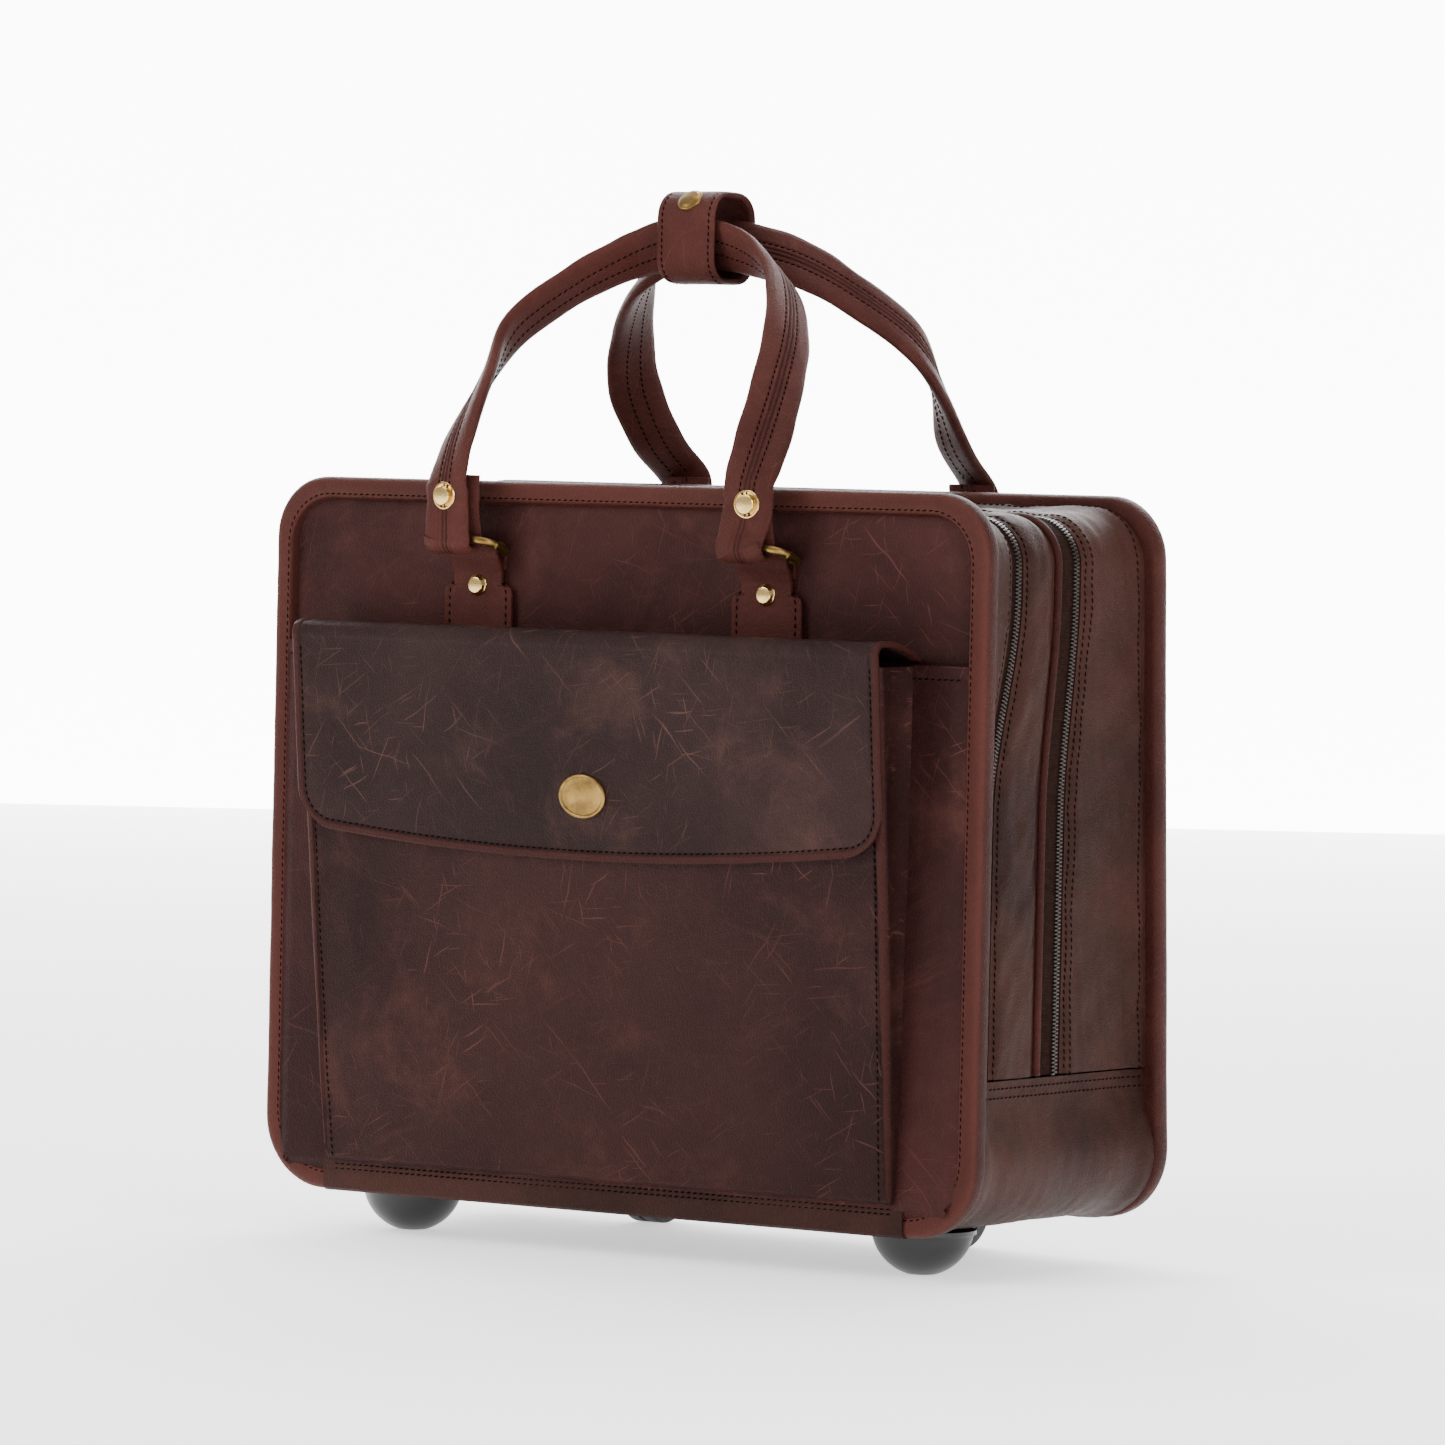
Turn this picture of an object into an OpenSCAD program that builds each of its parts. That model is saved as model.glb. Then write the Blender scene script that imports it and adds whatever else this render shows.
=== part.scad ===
// Rolling leather laptop case: soft bound shell, front pocket with flap, twin carry handles,
// telescopic trolley inside the back, two rear wheels and two front feet.
// Millimetres, +Z up, +X across the width, the front faces -Y, the floor is at Z = 0.

/* [Case shell] */
// Width over the bindings
case_w = 430; // [340:1:520]
// Height of the front panel over the bindings
case_h = 360; // [300:1:440]
// Depth over the bindings at the top
top_d = 164; // [145:1:210]
// Depth over the bindings at the bottom
bottom_d = 181; // [160:1:230]
// Gap between the floor and the underside
floor_gap = 22; // [16:1:34]
// Radius of the top corners
top_r = 30; // [20:1:45]
// Radius of the bottom corners
bottom_r = 36; // [24:1:50]
// Width of the binding on the panel's face
bind_w = 10; // [6:1:16]
// Depth of the binding
bind_d = 12; // [8:1:18]
// How far the bindings stand proud of the gusset
flange_h = 12; // [8:1:16]
// Thickness of the stiffened leather walls
wall_t = 3; // [2:0.5:5]
// Height of the hem of the bottom panel above the floor
hem_z = 98; // [80:1:130]

/* [Zips] */
// Width of a zip with its visible tape
zip_w = 10; // [8:1:14]
// Where the front zip runs, as shares of the case's depth, at the top and low down
front_zip_share = [0.2775, 0.1465]; // [0.1:0.001:0.35]
// Where the piping runs, as shares of the case's depth, at the top and low down
piping_share = [0.494, 0.433]; // [0.38:0.001:0.52]
// Where the main zip runs, as shares of the case's depth, at the top and low down
main_zip_share = [0.5975, 0.5365]; // [0.5:0.001:0.65]
// How far below the top each zip's bend starts and ends
bend_drop = [61, 144]; // [50:1:180]
// Diameter of the piping
piping_dia = 5; // [3:0.5:7]

/* [Front pockets] */
// How far the slip pocket's mouth lies below the top
slip_drop = 83; // [70:1:110]
// Height of the pocket bottoms above the underside
pocket_foot_h = 16; // [12:1:40]
// Clear depth of the slip pocket
slip_gap = 4.6; // [4:0.1:8]
// Distance of the front pocket from each side of the case
pocket_side = 40; // [24:1:60]
// Depth of the front pocket at its mouth
pocket_d = 31; // [24:1:45]
// Depth of the front pocket at its bottom
pocket_foot_d = 7; // [5:1:12]
// How far the front pocket's mouth lies below the top
pocket_drop = 84; // [72:1:112]
// Thickness of the pocket and flap leather
leather_t = 2.5; // [1.5:0.1:4]
// How far the flap's ridge lies below the top
ridge_drop = 72; // [60:1:84]
// Height of the flap from its lowest edge to its ridge
flap_h = 113; // [70:1:140]
// Radius of the flap's lower corners
flap_r = 22; // [12:1:36]
// How far the flap's edge rises from its middle to its corners
flap_curve = 11; // [4:1:20]
// Gap between the flap and the pocket
flap_gap = 1.2; // [0.6:0.1:3]
// Width and height of the brass plaque
plaque = [27, 20]; // [16:1:34]

/* [Carry handles] */
// Distance of a handle tab from the middle
tab_x = 87; // [70:1:110]
// Width of a tab at its foot and at its neck
tab_w = [41, 29]; // [24:1:48]
// How far the D-ring bars lie below the top
ring_drop = 35; // [28:1:50]
// Diameter of the D-ring wire
ring_wire = 4; // [3:0.5:5]
// Clear width of a D-ring
ring_w = 32; // [28:1:38]
// How far a ring reaches out from its bar
bow_reach = 19; // [16:1:24]
// Width of a handle strap
strap_w = 30; // [24:1:36]
// Thickness of a handle strap
strap_t = 7; // [5:0.5:9]
// Height of the strap's middle at the top of the arch above the case
arch_rise = 121; // [100:1:160]
// Place of the wrap across the width
wrap_x = -2; // [-12:1:12]
// Length of the wrap across the width
wrap_w = 41; // [34:1:50]
// Height and depth of the wrap over its leather
wrap_size = [47, 53]; // [40:1:80]

/* [Trolley] */
// Distance of a trolley tube from the middle
tube_x = 40; // [36:1:60]
// Width and depth of the outer tubes
tube_size = [18, 14]; // [14:0.5:22]
// Wall of each tube
tube_wall = 1.1; // [0.8:0.1:1.6]
// Clearance on each side between two tubes
tube_fit = 0.25; // [0.15:0.05:0.4]
// Depth of the tubes in front of the back face at the top
tube_in = 31; // [28:1:38]
// Length, depth and height of the grip
grip_size = [100, 24, 20]; // [16:1:140]

/* [Wheels and feet] */
// Radius of a wheel over its tyre
wheel_r = 23; // [20:0.5:28]
// Width of a tyre
wheel_w = 17; // [14:1:22]
// Distance of a wheel from the middle
wheel_x = 92; // [80:1:150]
// Radius of the axle
axle_r = 3; // [2.5:0.5:4]
// Running clearance between the axle and its bearing
axle_fit = 0.05; // [0.03:0.01:0.1]
// Distance of a front foot from the side of the case
foot_side = 60; // [44:1:90]
// Depth of a front foot behind the front face
foot_d = 48; // [36:1:60]
// Radius of a foot's dome
foot_r = 25.5; // [23:0.5:32]

/* [Hidden] */
$fn = 64;

touch = 0.05;      // daylight left between leather pieces that are glued or sewn together
run = 0.4;         // running clearance between plastic mouldings that move
through = 1;       // how far a cutting body runs past what it cuts
seat = 0.02;       // daylight under a fitting that sits on leather
top_z = floor_gap + case_h;
shell_top_z = top_z - flange_h;
shell_low_z = floor_gap + flange_h;
front_zip_d = front_zip_share * top_d;       // depths behind the front face, at the top and low down
main_zip_d = main_zip_share * top_d;
piping_d = piping_share * top_d;
bend_z = [top_z - bend_drop[0], top_z - bend_drop[1]];
back_sink = 2;                               // how far the back panel lies in from its binding
hem_end = 1;                                 // daylight at the back end of the skirt
slip_z = top_z - slip_drop;
pocket_z = top_z - pocket_drop;
pocket_foot_z = floor_gap + pocket_foot_h;
slip_below = 14;                             // how far the slip pocket runs below the front pocket
pocket_w = case_w - 2 * pocket_side;
ridge_z = top_z - ridge_drop;
flap_low_z = ridge_z - flap_h;
flap_over = 1;                               // how far the flap reaches past the pocket's sides
yoke_in = 3;                                 // how far the yoke's ridge lies in from the mouth
yoke_lift = 1;                               // how far the yoke starts above the slip pocket
ring_z = top_z - ring_drop;
arch_z = top_z + arch_rise;
foot_x = case_w / 2 - foot_side;
tube_d = top_d - tube_in;
plaque_t = 2;
wheel_d = bottom_d - 9;                      // depth of the axle behind the front face
flap_slope = (pocket_d - pocket_foot_d) / (pocket_z - pocket_foot_z);
flap_top_d = -pocket_d - flap_gap - (ridge_z - pocket_z) * flap_slope;
front_out = leather_t - flap_top_d;          // how far the flap reaches out of the front face
back_out = wheel_d + wheel_r;                // how far the wheels reach behind the front face
front_y = (front_out - back_out) / 2;        // puts the whole case evenly about Y = 0
tab_out = slip_gap - 2 * touch;              // how far a tab stands off its panel
rivet_cap = 3;                               // how far a rivet stands off its strap
lean = atan((bottom_d - top_d) / case_h);    // how far the back panel leans forward

board_t = 4;
board_in = 6;                                // how far the base board stays clear of the walls
board_top_z = shell_low_z + wall_t + board_t;
divider_d = 62;
divider_t = 6;
divider_fit = 2;                             // clearance of the divider inside the gussets
divider_h = case_h - 90;
sleeve_size = [case_w - 60, 18, case_h - 110];
sleeve_lift = 12;                            // height of the sleeve above the base board
sleeve_wall = 4;
plaque_z = flap_low_z + 32;
magnet_z = flap_low_z + 18;
magnet_r = 8;
slope_deg = atan(flap_slope);
magnet_t = [0.5, 1.1];                       // thickness of the flap's and the pocket's magnet
tab_below = 12;                                     // how far a tab runs down into the slip pocket
tab_wide_z = ring_z - 14;                           // where a tab starts to narrow, and where it has its neck
tab_neck_z = ring_z - 7;
leg_out = [1.5, 4];                                 // how far the legs drift out, at the rivet and above it
ring_bar_r = ring_wire / 2 + 0.25;                  // radius of a ring's straight bar
eye_fit = 0.1;                                      // clearance of the bar in its tab
eye_sink = 0.04;                                    // how far the tab's eye sinks below its back
eye_off = ring_bar_r + eye_fit + leather_t - eye_sink;   // from the tab's back to the bar
front_tab_d = slip_gap - touch;                     // depth of the back of the front tabs
ring_front_d = front_tab_d - eye_off;               // depth of the front rings' bars
back_tab = [31, 60];                                // where a back tab starts below its ring, and its height
tab_back_d = back_d(ring_z) - back_sink;            // depth of the face under the back tabs
back_tab_off = 1.5;                                 // daylight that the leaning panel leaves behind them
ring_back_d = tab_back_d + eye_off + back_tab_off;
rivet_flange = 1;                                   // thickness of a rivet's flange
rivet_taper = 0.7;                                  // how much a rivet's head narrows
tab_rivet = [5.7, 5.2];                             // radii of a tab rivet's flange and head
handle_rivet = [7, 4.8];                            // radii of a handle rivet's flange and head
handle_rivet_off = 1.15;                             // daylight under a handle rivet
tab_rivet_z = ring_z - 17;
ring_tilt = 20;
ring_corner_r = 7;
ring_bar_over = 0.5;                                // how far a ring's bar stands past its bow
loop_d = ring_front_d - (bow_reach - ring_wire / 2) * cos(ring_tilt);
loop_z = ring_z + (bow_reach - ring_wire / 2) * sin(ring_tilt);
loop_t = 4.4;                                   // thickness of the strap's turned end
loop_fit = 0.4;                                 // clearance between the bow and the strap's loop
loop_r = ring_wire / sqrt(2) + loop_fit + loop_t / 2;   // middle of the strap round the bow
layer_off = loop_t / 2 + loop_fit;                   // middle of each layer above the loop
meet_d = (ring_front_d + ring_back_d) / 2;      // depth where the two handles meet
arch_gap = 7.9 + strap_t / 2;                   // from the meeting plane to a strap's middle
strap_seam = 3;                                 // what the strap's folded edges take off its width
arch_turn = 145;                                // how far the strap's face has turned at the arch
handle_rivet_z = loop_z + 23;
wrap_low_z = top_z + 100;
wrap_r = 15;
wrap_t = 3.5;
snap_r = [7, 5.4];                              // radii of the snap's flange and cap
snap_h = [1.2, 2.2];
snap_fore = 8;                                  // how far the snap sits in front of the meeting plane
foot_plate = [46, 46, 2];
foot_screw = [1.95, 4.5];             // radii of a foot's screw and its head
foot_hole_r = 3.2;
foot_bite = 13;                       // how far the screw reaches down into the foot
foot_flat = 0.8;                      // depth of the worn flat under a dome
dome_base_z = floor_gap - foot_plate[2];
housing_w = wheel_w + 15;
housing_screw = [11, 6, 3];           // a screw's place beside and before the axle, and its head's radius
housing_top_z = floor_gap + 40;
housing_wall = 5;                     // plastic in front of the wheel
housing_behind = 15;                  // how far the housing's block runs past the wheel before its chamfer
housing_sink = 2;                     // how far a housing stands out below the underside
housing_fit = 0.1;
well_side = 1.2;                      // clearance beside a tyre
screw_head = 2;
well_r = wheel_r + 2.5;
rim_r = 16;
bearing_r = 9;
bearing_w = 5;
middle_size = inside(tube_size);
inner_size = inside(middle_size);
tube_low_z = 56;
collar_top_z = shell_top_z + 2;
collar_wall = 2.5;
grip_top_z = top_z - 4;
grip_low_z = grip_top_z - grip_size[2];
cup_floor_z = grip_low_z - run - 3;
tube_top_z = cup_floor_z - touch;
collar_size = [grip_size[0] + 2 * run + 2 * collar_wall + 2, grip_size[1] + 2 * run + 2 * collar_wall];
button_size = [26, 12];
spring_r = 3;
side_x = -case_w / 2 + flange_h;
slider_z = hem_z + 16;
slider_size = [3, 8, 12];
bail = [3.8, 3, 8];
pivot_x = -slider_size[0] - 2.3;   // the pull's pin, out from the gusset
pin_r = 0.9;
pin_fit = 0.3;

// Depth behind the front face of a seam that bends on its way down the side
function seam_d(ends, z) = lookup(z, [[floor_gap, ends[1]], [bend_z[1], ends[1]],
    [bend_z[0], ends[0]], [top_z + through, ends[0]]]);
// Depth behind the front face of the back panel's outer face
function back_d(z) = bottom_d - (z - floor_gap) * tan(lean);

// ---- Outlines and walls ----

// The panel's outline in the XZ plane, pulled in by inset
module outline(inset) {
    w = case_w - 2 * inset;
    rt = top_r - inset * 0.6;
    rb = bottom_r - inset * 0.6;
    translate([0, inset]) {
        translate([-w / 2, rb]) square([w, case_h - 2 * inset - rb - rt]);
        translate([-w / 2 + rb, 0]) square([w - 2 * rb, rb + through]);
        translate([-w / 2 + rt, case_h - 2 * inset - rt - through])
            square([w - 2 * rt, rt + through]);
        for (s = [-1, 1]) {
            translate([s * (w / 2 - rb), rb]) circle(r = rb);
            translate([s * (w / 2 - rt), case_h - 2 * inset - rt]) circle(r = rt);
        }
    }
}

// Stands an XZ outline up between two depths behind the front face
module slab(d0, d1) {
    translate([0, front_y + d1, floor_gap]) rotate([90, 0, 0]) linear_extrude(d1 - d0) children();
}

// Stands an XZ outline up in the leaning plane of the back panel, d0 to d1 in front of its face
module back_slab(d0, d1) {
    translate([0, front_y + bottom_d, floor_gap]) rotate([lean, 0, 0])
        translate([0, -d0, 0]) rotate([90, 0, 0]) linear_extrude(d1 - d0) children();
}

module ring(inset, width) {
    difference() {
        outline(inset);
        outline(inset + width);
    }
}

// A prism across the whole width from a profile of [depth, height] points
module side_prism(points, width) {
    rotate([90, 0, 90]) translate([0, 0, -width / 2]) linear_extrude(width)
        polygon([for (p = points) [front_y + p[0], p[1]]]);
}

// Two copies of something, mirrored about the middle
module pair() {
    children();
    mirror([1, 0, 0]) children();
}

// The band of the side and top gusset between two seams, above the bottom panel's hem
module gusset_band(front_pts, back_pts) {
    intersection() {
        slab(bind_d + touch, bottom_d - bind_d - touch) ring(flange_h, wall_t);
        side_prism(concat(front_pts, back_pts), case_w);
    }
}

// A seam as a run of points, offset in depth, going up or down
function seam_up(ends, off) = [for (z = [hem_z + touch, bend_z[1], bend_z[0], top_z])
    [seam_d(ends, z) + off, z]];
function seam_down(ends, off) = [for (z = [top_z, bend_z[0], bend_z[1], hem_z + touch])
    [seam_d(ends, z) + off, z]];

// ---- Shell ----

module front_panel() {
    color("#4a2c28") slab(slip_gap, slip_gap + wall_t) outline(bind_w + touch);
}

module front_binding() {
    color("#6e3a33") slab(0, bind_d) ring(0, bind_w);
}

module back_binding() {
    color("#6e3a33") difference() {
        back_slab(0, bind_d) ring(0, bind_w);
        housing_space();
    }
}

module back_panel() {
    color("#4a2c28") difference() {
        back_slab(back_sink, back_sink + wall_t) outline(bind_w + touch);
        housing_space();
    }
}

module front_gusset() {
    color("#4f2f2a") gusset_band(
        [[bind_d + touch, hem_z + touch], [bind_d + touch, top_z]],
        seam_down(front_zip_d, -zip_w / 2 - touch));
}

module zip_front() {
    color("#2a1c1a") gusset_band(seam_up(front_zip_d, -zip_w / 2), seam_down(front_zip_d, zip_w / 2));
}

module middle_gusset() {
    color("#4f2f2a") gusset_band(seam_up(front_zip_d, zip_w / 2 + touch),
        seam_down(piping_d, -piping_dia / 2 - touch));
}

module gusset_piping() {
    color("#7a3a32") intersection() {
        slab(bind_d, bottom_d - bind_d) ring(flange_h - piping_dia / 2, wall_t + piping_dia / 2);
        side_prism(concat(seam_up(piping_d, -piping_dia / 2), seam_down(piping_d, piping_dia / 2)),
            case_w);
    }
}

module zip_main() {
    color("#2a1c1a") gusset_band(seam_up(piping_d, piping_dia / 2 + touch),
        seam_down(main_zip_d, zip_w / 2));
}

module rear_gusset() {
    color("#4f2f2a") difference() {
        intersection() {
            slab(bind_d, bottom_d) ring(flange_h, wall_t);
            side_prism(concat(seam_up(main_zip_d, zip_w / 2 + touch),
                [for (z = [top_z, hem_z + touch]) [back_d(z) - bind_d - touch, z]]), case_w);
        }
        collar_space(touch);
    }
}

module bottom_panel() {
    color("#55322d") difference() {
        intersection() {
            slab(bind_d, bottom_d) ring(flange_h, wall_t);
            side_prism([[bind_d + touch, floor_gap], [bind_d + touch, hem_z],
                [back_d(hem_z) - bind_d - touch, hem_z],
                [back_d(floor_gap) - bind_d - touch, floor_gap]], case_w);
        }
        housing_space();
        foot_space();
    }
    color("#55322d") bottom_skirt();
}

// The leather under the case is flush with the bindings between the two corners
module bottom_skirt() {
    difference() {
        intersection() {
            slab(bind_d + touch, bottom_d) difference() {
                outline(0);
                outline(flange_h - touch);
            }
            side_prism([[bind_d + touch, 0], [bind_d + touch, floor_gap + flange_h - touch],
                [back_d(floor_gap) - bind_d - hem_end, floor_gap + flange_h - touch],
                [back_d(floor_gap) - bind_d - hem_end, 0]], case_w - 2 * bottom_r - 2 * flange_h);
        }
        housing_space();
        foot_space();
    }
}

module base_board() {
    color("#8a7a63") difference() {
        side_prism([[bind_d + board_in, shell_low_z + wall_t + touch],
            [bind_d + board_in, shell_low_z + wall_t + board_t],
            [bottom_d - bind_d - board_in, shell_low_z + wall_t + board_t],
            [bottom_d - bind_d - board_in, shell_low_z + wall_t + touch]],
            case_w - 2 * bottom_r - 2 * board_in);
        housing_space();
        foot_space();
    }
}

// Padded wall between the front and the main compartment
module divider() {
    color("#6b5a49") slab(divider_d, divider_d + divider_t) intersection() {
        outline(flange_h + wall_t + divider_fit);
        translate([-case_w / 2, board_top_z - floor_gap + through]) square([case_w, divider_h]);
    }
}

// Padded sleeve for a laptop, hung in the main compartment behind the divider
module laptop_sleeve() {
    low = board_top_z + sleeve_lift;
    color("#7b6a57") translate([-sleeve_size[0] / 2, front_y + divider_d + divider_t + touch, low])
        difference() {
            cube([sleeve_size[0], sleeve_size[1], sleeve_size[2]]);
            translate([sleeve_wall, sleeve_wall, sleeve_wall])
                cube([sleeve_size[0] - 2 * sleeve_wall, sleeve_size[1] - 2 * sleeve_wall,
                    sleeve_size[2]]);
        }
}

// ---- Front pockets and flap ----

module slip_pocket() {
    color("#4a2c28") slab(-leather_t, 0) intersection() {
        outline(bind_w + touch);
        translate([-case_w / 2, pocket_foot_z - floor_gap - slip_below])
            square([case_w, slip_z - pocket_foot_z + slip_below]);
    }
}

// A wedge-shaped pocket: a sloping front wall, two side walls and a foot
module front_pocket() {
    inner = pocket_w - 2 * leather_t;
    back = -leather_t - touch;
    color("#4a2c28") difference() {
        side_prism([[back, pocket_foot_z], [-pocket_foot_d, pocket_foot_z],
            [-pocket_d, pocket_z], [back, pocket_z]], pocket_w);
        side_prism([[back + seat, pocket_foot_z + leather_t],
            [-pocket_foot_d + leather_t, pocket_foot_z + leather_t],
            [-pocket_d + leather_t, pocket_z + through],
            [back + seat, pocket_z + through]], inner);
    }
}

// The top of the flap, sewn to the case and bridging the mouth of the pocket
module flap_yoke() {
    color("#4a2c28") side_prism([[-leather_t - touch, slip_z + yoke_lift],
        [-pocket_d + yoke_in, ridge_z - leather_t], [-pocket_d + yoke_in, ridge_z],
        [-leather_t - touch, slip_z + yoke_lift + leather_t]], pocket_w + 2 * flap_over);
}

// The hanging part of the flap, on the pocket's sloping front
function flap_d(z) = flap_top_d + (ridge_z - z) * flap_slope;
module flap_outline() {
    half = pocket_w / 2 + flap_over;
    r = flap_r;
    low = flap_low_z;
    sag = (half * half - flap_curve * flap_curve) / (2 * flap_curve);
    intersection() {
        union() {
            translate([-half, low + flap_curve + r]) square([2 * half, ridge_z - low - flap_curve - r]);
            translate([-half + r, low]) square([2 * half - 2 * r, ridge_z - low]);
            for (s = [-1, 1]) translate([s * (half - r), low + flap_curve + r]) circle(r = r);
        }
        translate([0, low + sag + flap_curve]) circle(r = sag + flap_curve, $fn = 360);
    }
}
module flap() {
    color("#452a26") intersection() {
        translate([0, front_y, 0]) rotate([90, 0, 0]) linear_extrude(2 * front_out) flap_outline();
        side_prism([[flap_d(flap_low_z - through), flap_low_z - through], [flap_d(ridge_z), ridge_z],
            [flap_d(ridge_z) - leather_t, ridge_z],
            [flap_d(flap_low_z - through) - leather_t, flap_low_z - through]], case_w);
    }
}

// Places something on the flap's outer face at a height, with its own Z pointing out of it
module on_flap(z, lift) {
    translate([0, front_y + flap_d(z) - leather_t, z]) rotate([90 + slope_deg, 0, 0])
        translate([0, 0, lift]) children();
}

module flap_plaque() {
    color("#b08d4a") on_flap(plaque_z, seat) linear_extrude(plaque_t) {
        square([plaque[0] - plaque[1], plaque[1]], center = true);
        for (s = [-1, 1]) translate([s * (plaque[0] - plaque[1]) / 2, 0]) circle(d = plaque[1]);
    }
}

module flap_magnet() {
    color("#9a8a66") on_flap(magnet_z, -leather_t - magnet_t[0] - seat)
        cylinder(r = magnet_r, h = magnet_t[0]);
}

module pocket_magnet() {
    color("#9a8a66") on_flap(magnet_z, -2 * leather_t - flap_gap - magnet_t[1] - 6 * touch)
        cylinder(r = magnet_r, h = magnet_t[1]);
}

// ---- Handle tabs, rings, straps and wrap ----

// A folded tab: a tapered flat piece with a round eye for the ring's bar at its top
module tab(depth0) {
    foot_z = slip_z - tab_below;
    eye_r = ring_bar_r + eye_fit;
    eye_out = eye_r + leather_t;
    difference() {
        union() {
            translate([0, front_y, 0]) rotate([90, 0, 0])
                translate([0, 0, -depth0]) linear_extrude(tab_out) polygon([
                    [-tab_w[0] / 2, foot_z], [tab_w[0] / 2, foot_z],
                    [tab_w[0] / 2, tab_wide_z], [tab_w[1] / 2, tab_neck_z],
                    [tab_w[1] / 2, ring_z], [-tab_w[1] / 2, ring_z],
                    [-tab_w[1] / 2, tab_neck_z], [-tab_w[0] / 2, tab_wide_z]]);
            translate([-tab_w[1] / 2, front_y + depth0 - eye_off, ring_z]) rotate([0, 90, 0])
                cylinder(r = eye_out, h = tab_w[1]);
        }
        translate([-tab_w[1], front_y + depth0 - eye_off, ring_z]) rotate([0, 90, 0])
            cylinder(r = eye_r, h = 2 * tab_w[1]);
    }
}

module front_tabs() {
    color("#5d322d") pair() translate([tab_x, 0, 0]) tab(front_tab_d);
}

// Turns something made for the front, about the case's depth, so that it faces back
module to_back(front_depth, back_depth) {
    translate([0, 2 * front_y + front_depth + back_depth, 0]) mirror([0, 1, 0]) children();
}

module back_tabs() {
    color("#5d322d") pair() translate([tab_x, 0, 0])
        to_back(ring_front_d, ring_back_d) intersection() {
            tab(front_tab_d);
            translate([-tab_w[0], front_y - top_d / 2, ring_z - back_tab[0]])
                cube([2 * tab_w[0], top_d, back_tab[1]]);
        }
}

// A rivet facing the front: a thin flange under a raised head
module rivet(flange_r, head_r, depth) {
    translate([0, front_y + depth, 0]) rotate([90, 0, 0]) {
        cylinder(r = flange_r, h = rivet_flange);
        translate([0, 0, rivet_flange - seat])
            cylinder(r1 = head_r, r2 = head_r - rivet_taper, h = rivet_cap - rivet_flange);
    }
}

module front_tab_rivets() {
    color("#b08d4a") pair() translate([tab_x, 0, tab_rivet_z])
        rivet(tab_rivet[0], tab_rivet[1], front_tab_d - tab_out - seat);
}

module back_tab_rivets() {
    color("#b08d4a") pair() translate([tab_x, 0, tab_rivet_z]) to_back(ring_front_d, ring_back_d)
        rivet(tab_rivet[0], tab_rivet[1], front_tab_d - tab_out - seat);
}

// A ring that leans out from its bar: a round bar in the tab's eye and a flat bow round the strap
module bow_outline(grow) {
    w = ring_w + 2 * grow;
    r = ring_corner_r + grow - ring_wire;
    translate([-w / 2, -bow_reach + r]) square([w, bow_reach - r]);
    translate([-w / 2 + r, -bow_reach - grow + ring_wire]) square([w - 2 * r, bow_reach]);
    for (s = [-1, 1]) translate([s * (w / 2 - r), -bow_reach + ring_wire - grow + r]) circle(r = r);
}
module d_ring(depth) {
    bar = ring_w + 2 * ring_wire + 2 * ring_bar_over;
    translate([0, front_y + depth, ring_z]) rotate([-ring_tilt, 0, 0]) {
        translate([-bar / 2, 0, 0]) rotate([0, 90, 0]) cylinder(r = ring_bar_r, h = bar);
        translate([0, 0, -ring_wire / 2]) linear_extrude(ring_wire) difference() {
            bow_outline(ring_wire);
            bow_outline(0);
            translate([-ring_w, 0]) square([2 * ring_w, ring_w]);
        }
    }
}

module front_d_rings() {
    color("#a8864a") pair() translate([tab_x, 0, 0]) d_ring(ring_front_d);
}

module back_d_rings() {
    color("#a8864a") pair() translate([tab_x, 0, 0]) to_back(ring_front_d, ring_back_d)
        d_ring(ring_front_d);
}

// ---- Handle straps: a flat band swept along a smooth route ----

// Outermost point of the ring, where the strap's loop hangs

// Rows of [x, depth, z, turn, thickness] from the turned end, round the ring, up to the arch;
// the turn is the angle of the face from facing the front
function half_route() = let (
        rise = arch_z - (loop_z + 24),
        reach = meet_d - arch_gap - loop_d
    ) concat(
    [[tab_x, loop_d + layer_off, loop_z + 32, 0, loop_t],
     [tab_x, loop_d + layer_off, loop_z + 20, 0, loop_t]],
    [for (a = [20, -20, -55, -90, -125, -160, -200])
        [tab_x, loop_d + loop_r * cos(a), loop_z + loop_r * sin(a), 0, loop_t]],
    [[tab_x + leg_out[0], loop_d - layer_off, loop_z + 20, 0, loop_t],
     [tab_x + leg_out[0], loop_d - layer_off, loop_z + 31, 0, loop_t],
     [tab_x + leg_out[1], loop_d + 0.10 * reach, loop_z + 24 + 0.21 * rise, 28, strap_t],
     [tab_x + leg_out[1], loop_d + 0.31 * reach, loop_z + 24 + 0.43 * rise, 56, strap_t],
     [tab_x - 4, loop_d + 0.6 * reach, loop_z + 24 + 0.64 * rise, 86, strap_t],
     [tab_x - 24, loop_d + 0.89 * reach, loop_z + 24 + 0.82 * rise, 112, strap_t],
     [tab_x - 44, loop_d + 0.975 * reach, loop_z + 24 + 0.925 * rise, 132, strap_t],
     [tab_x - 66, loop_d + reach, loop_z + 24 + 0.98 * rise, arch_turn - 2, strap_t]]);

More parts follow.
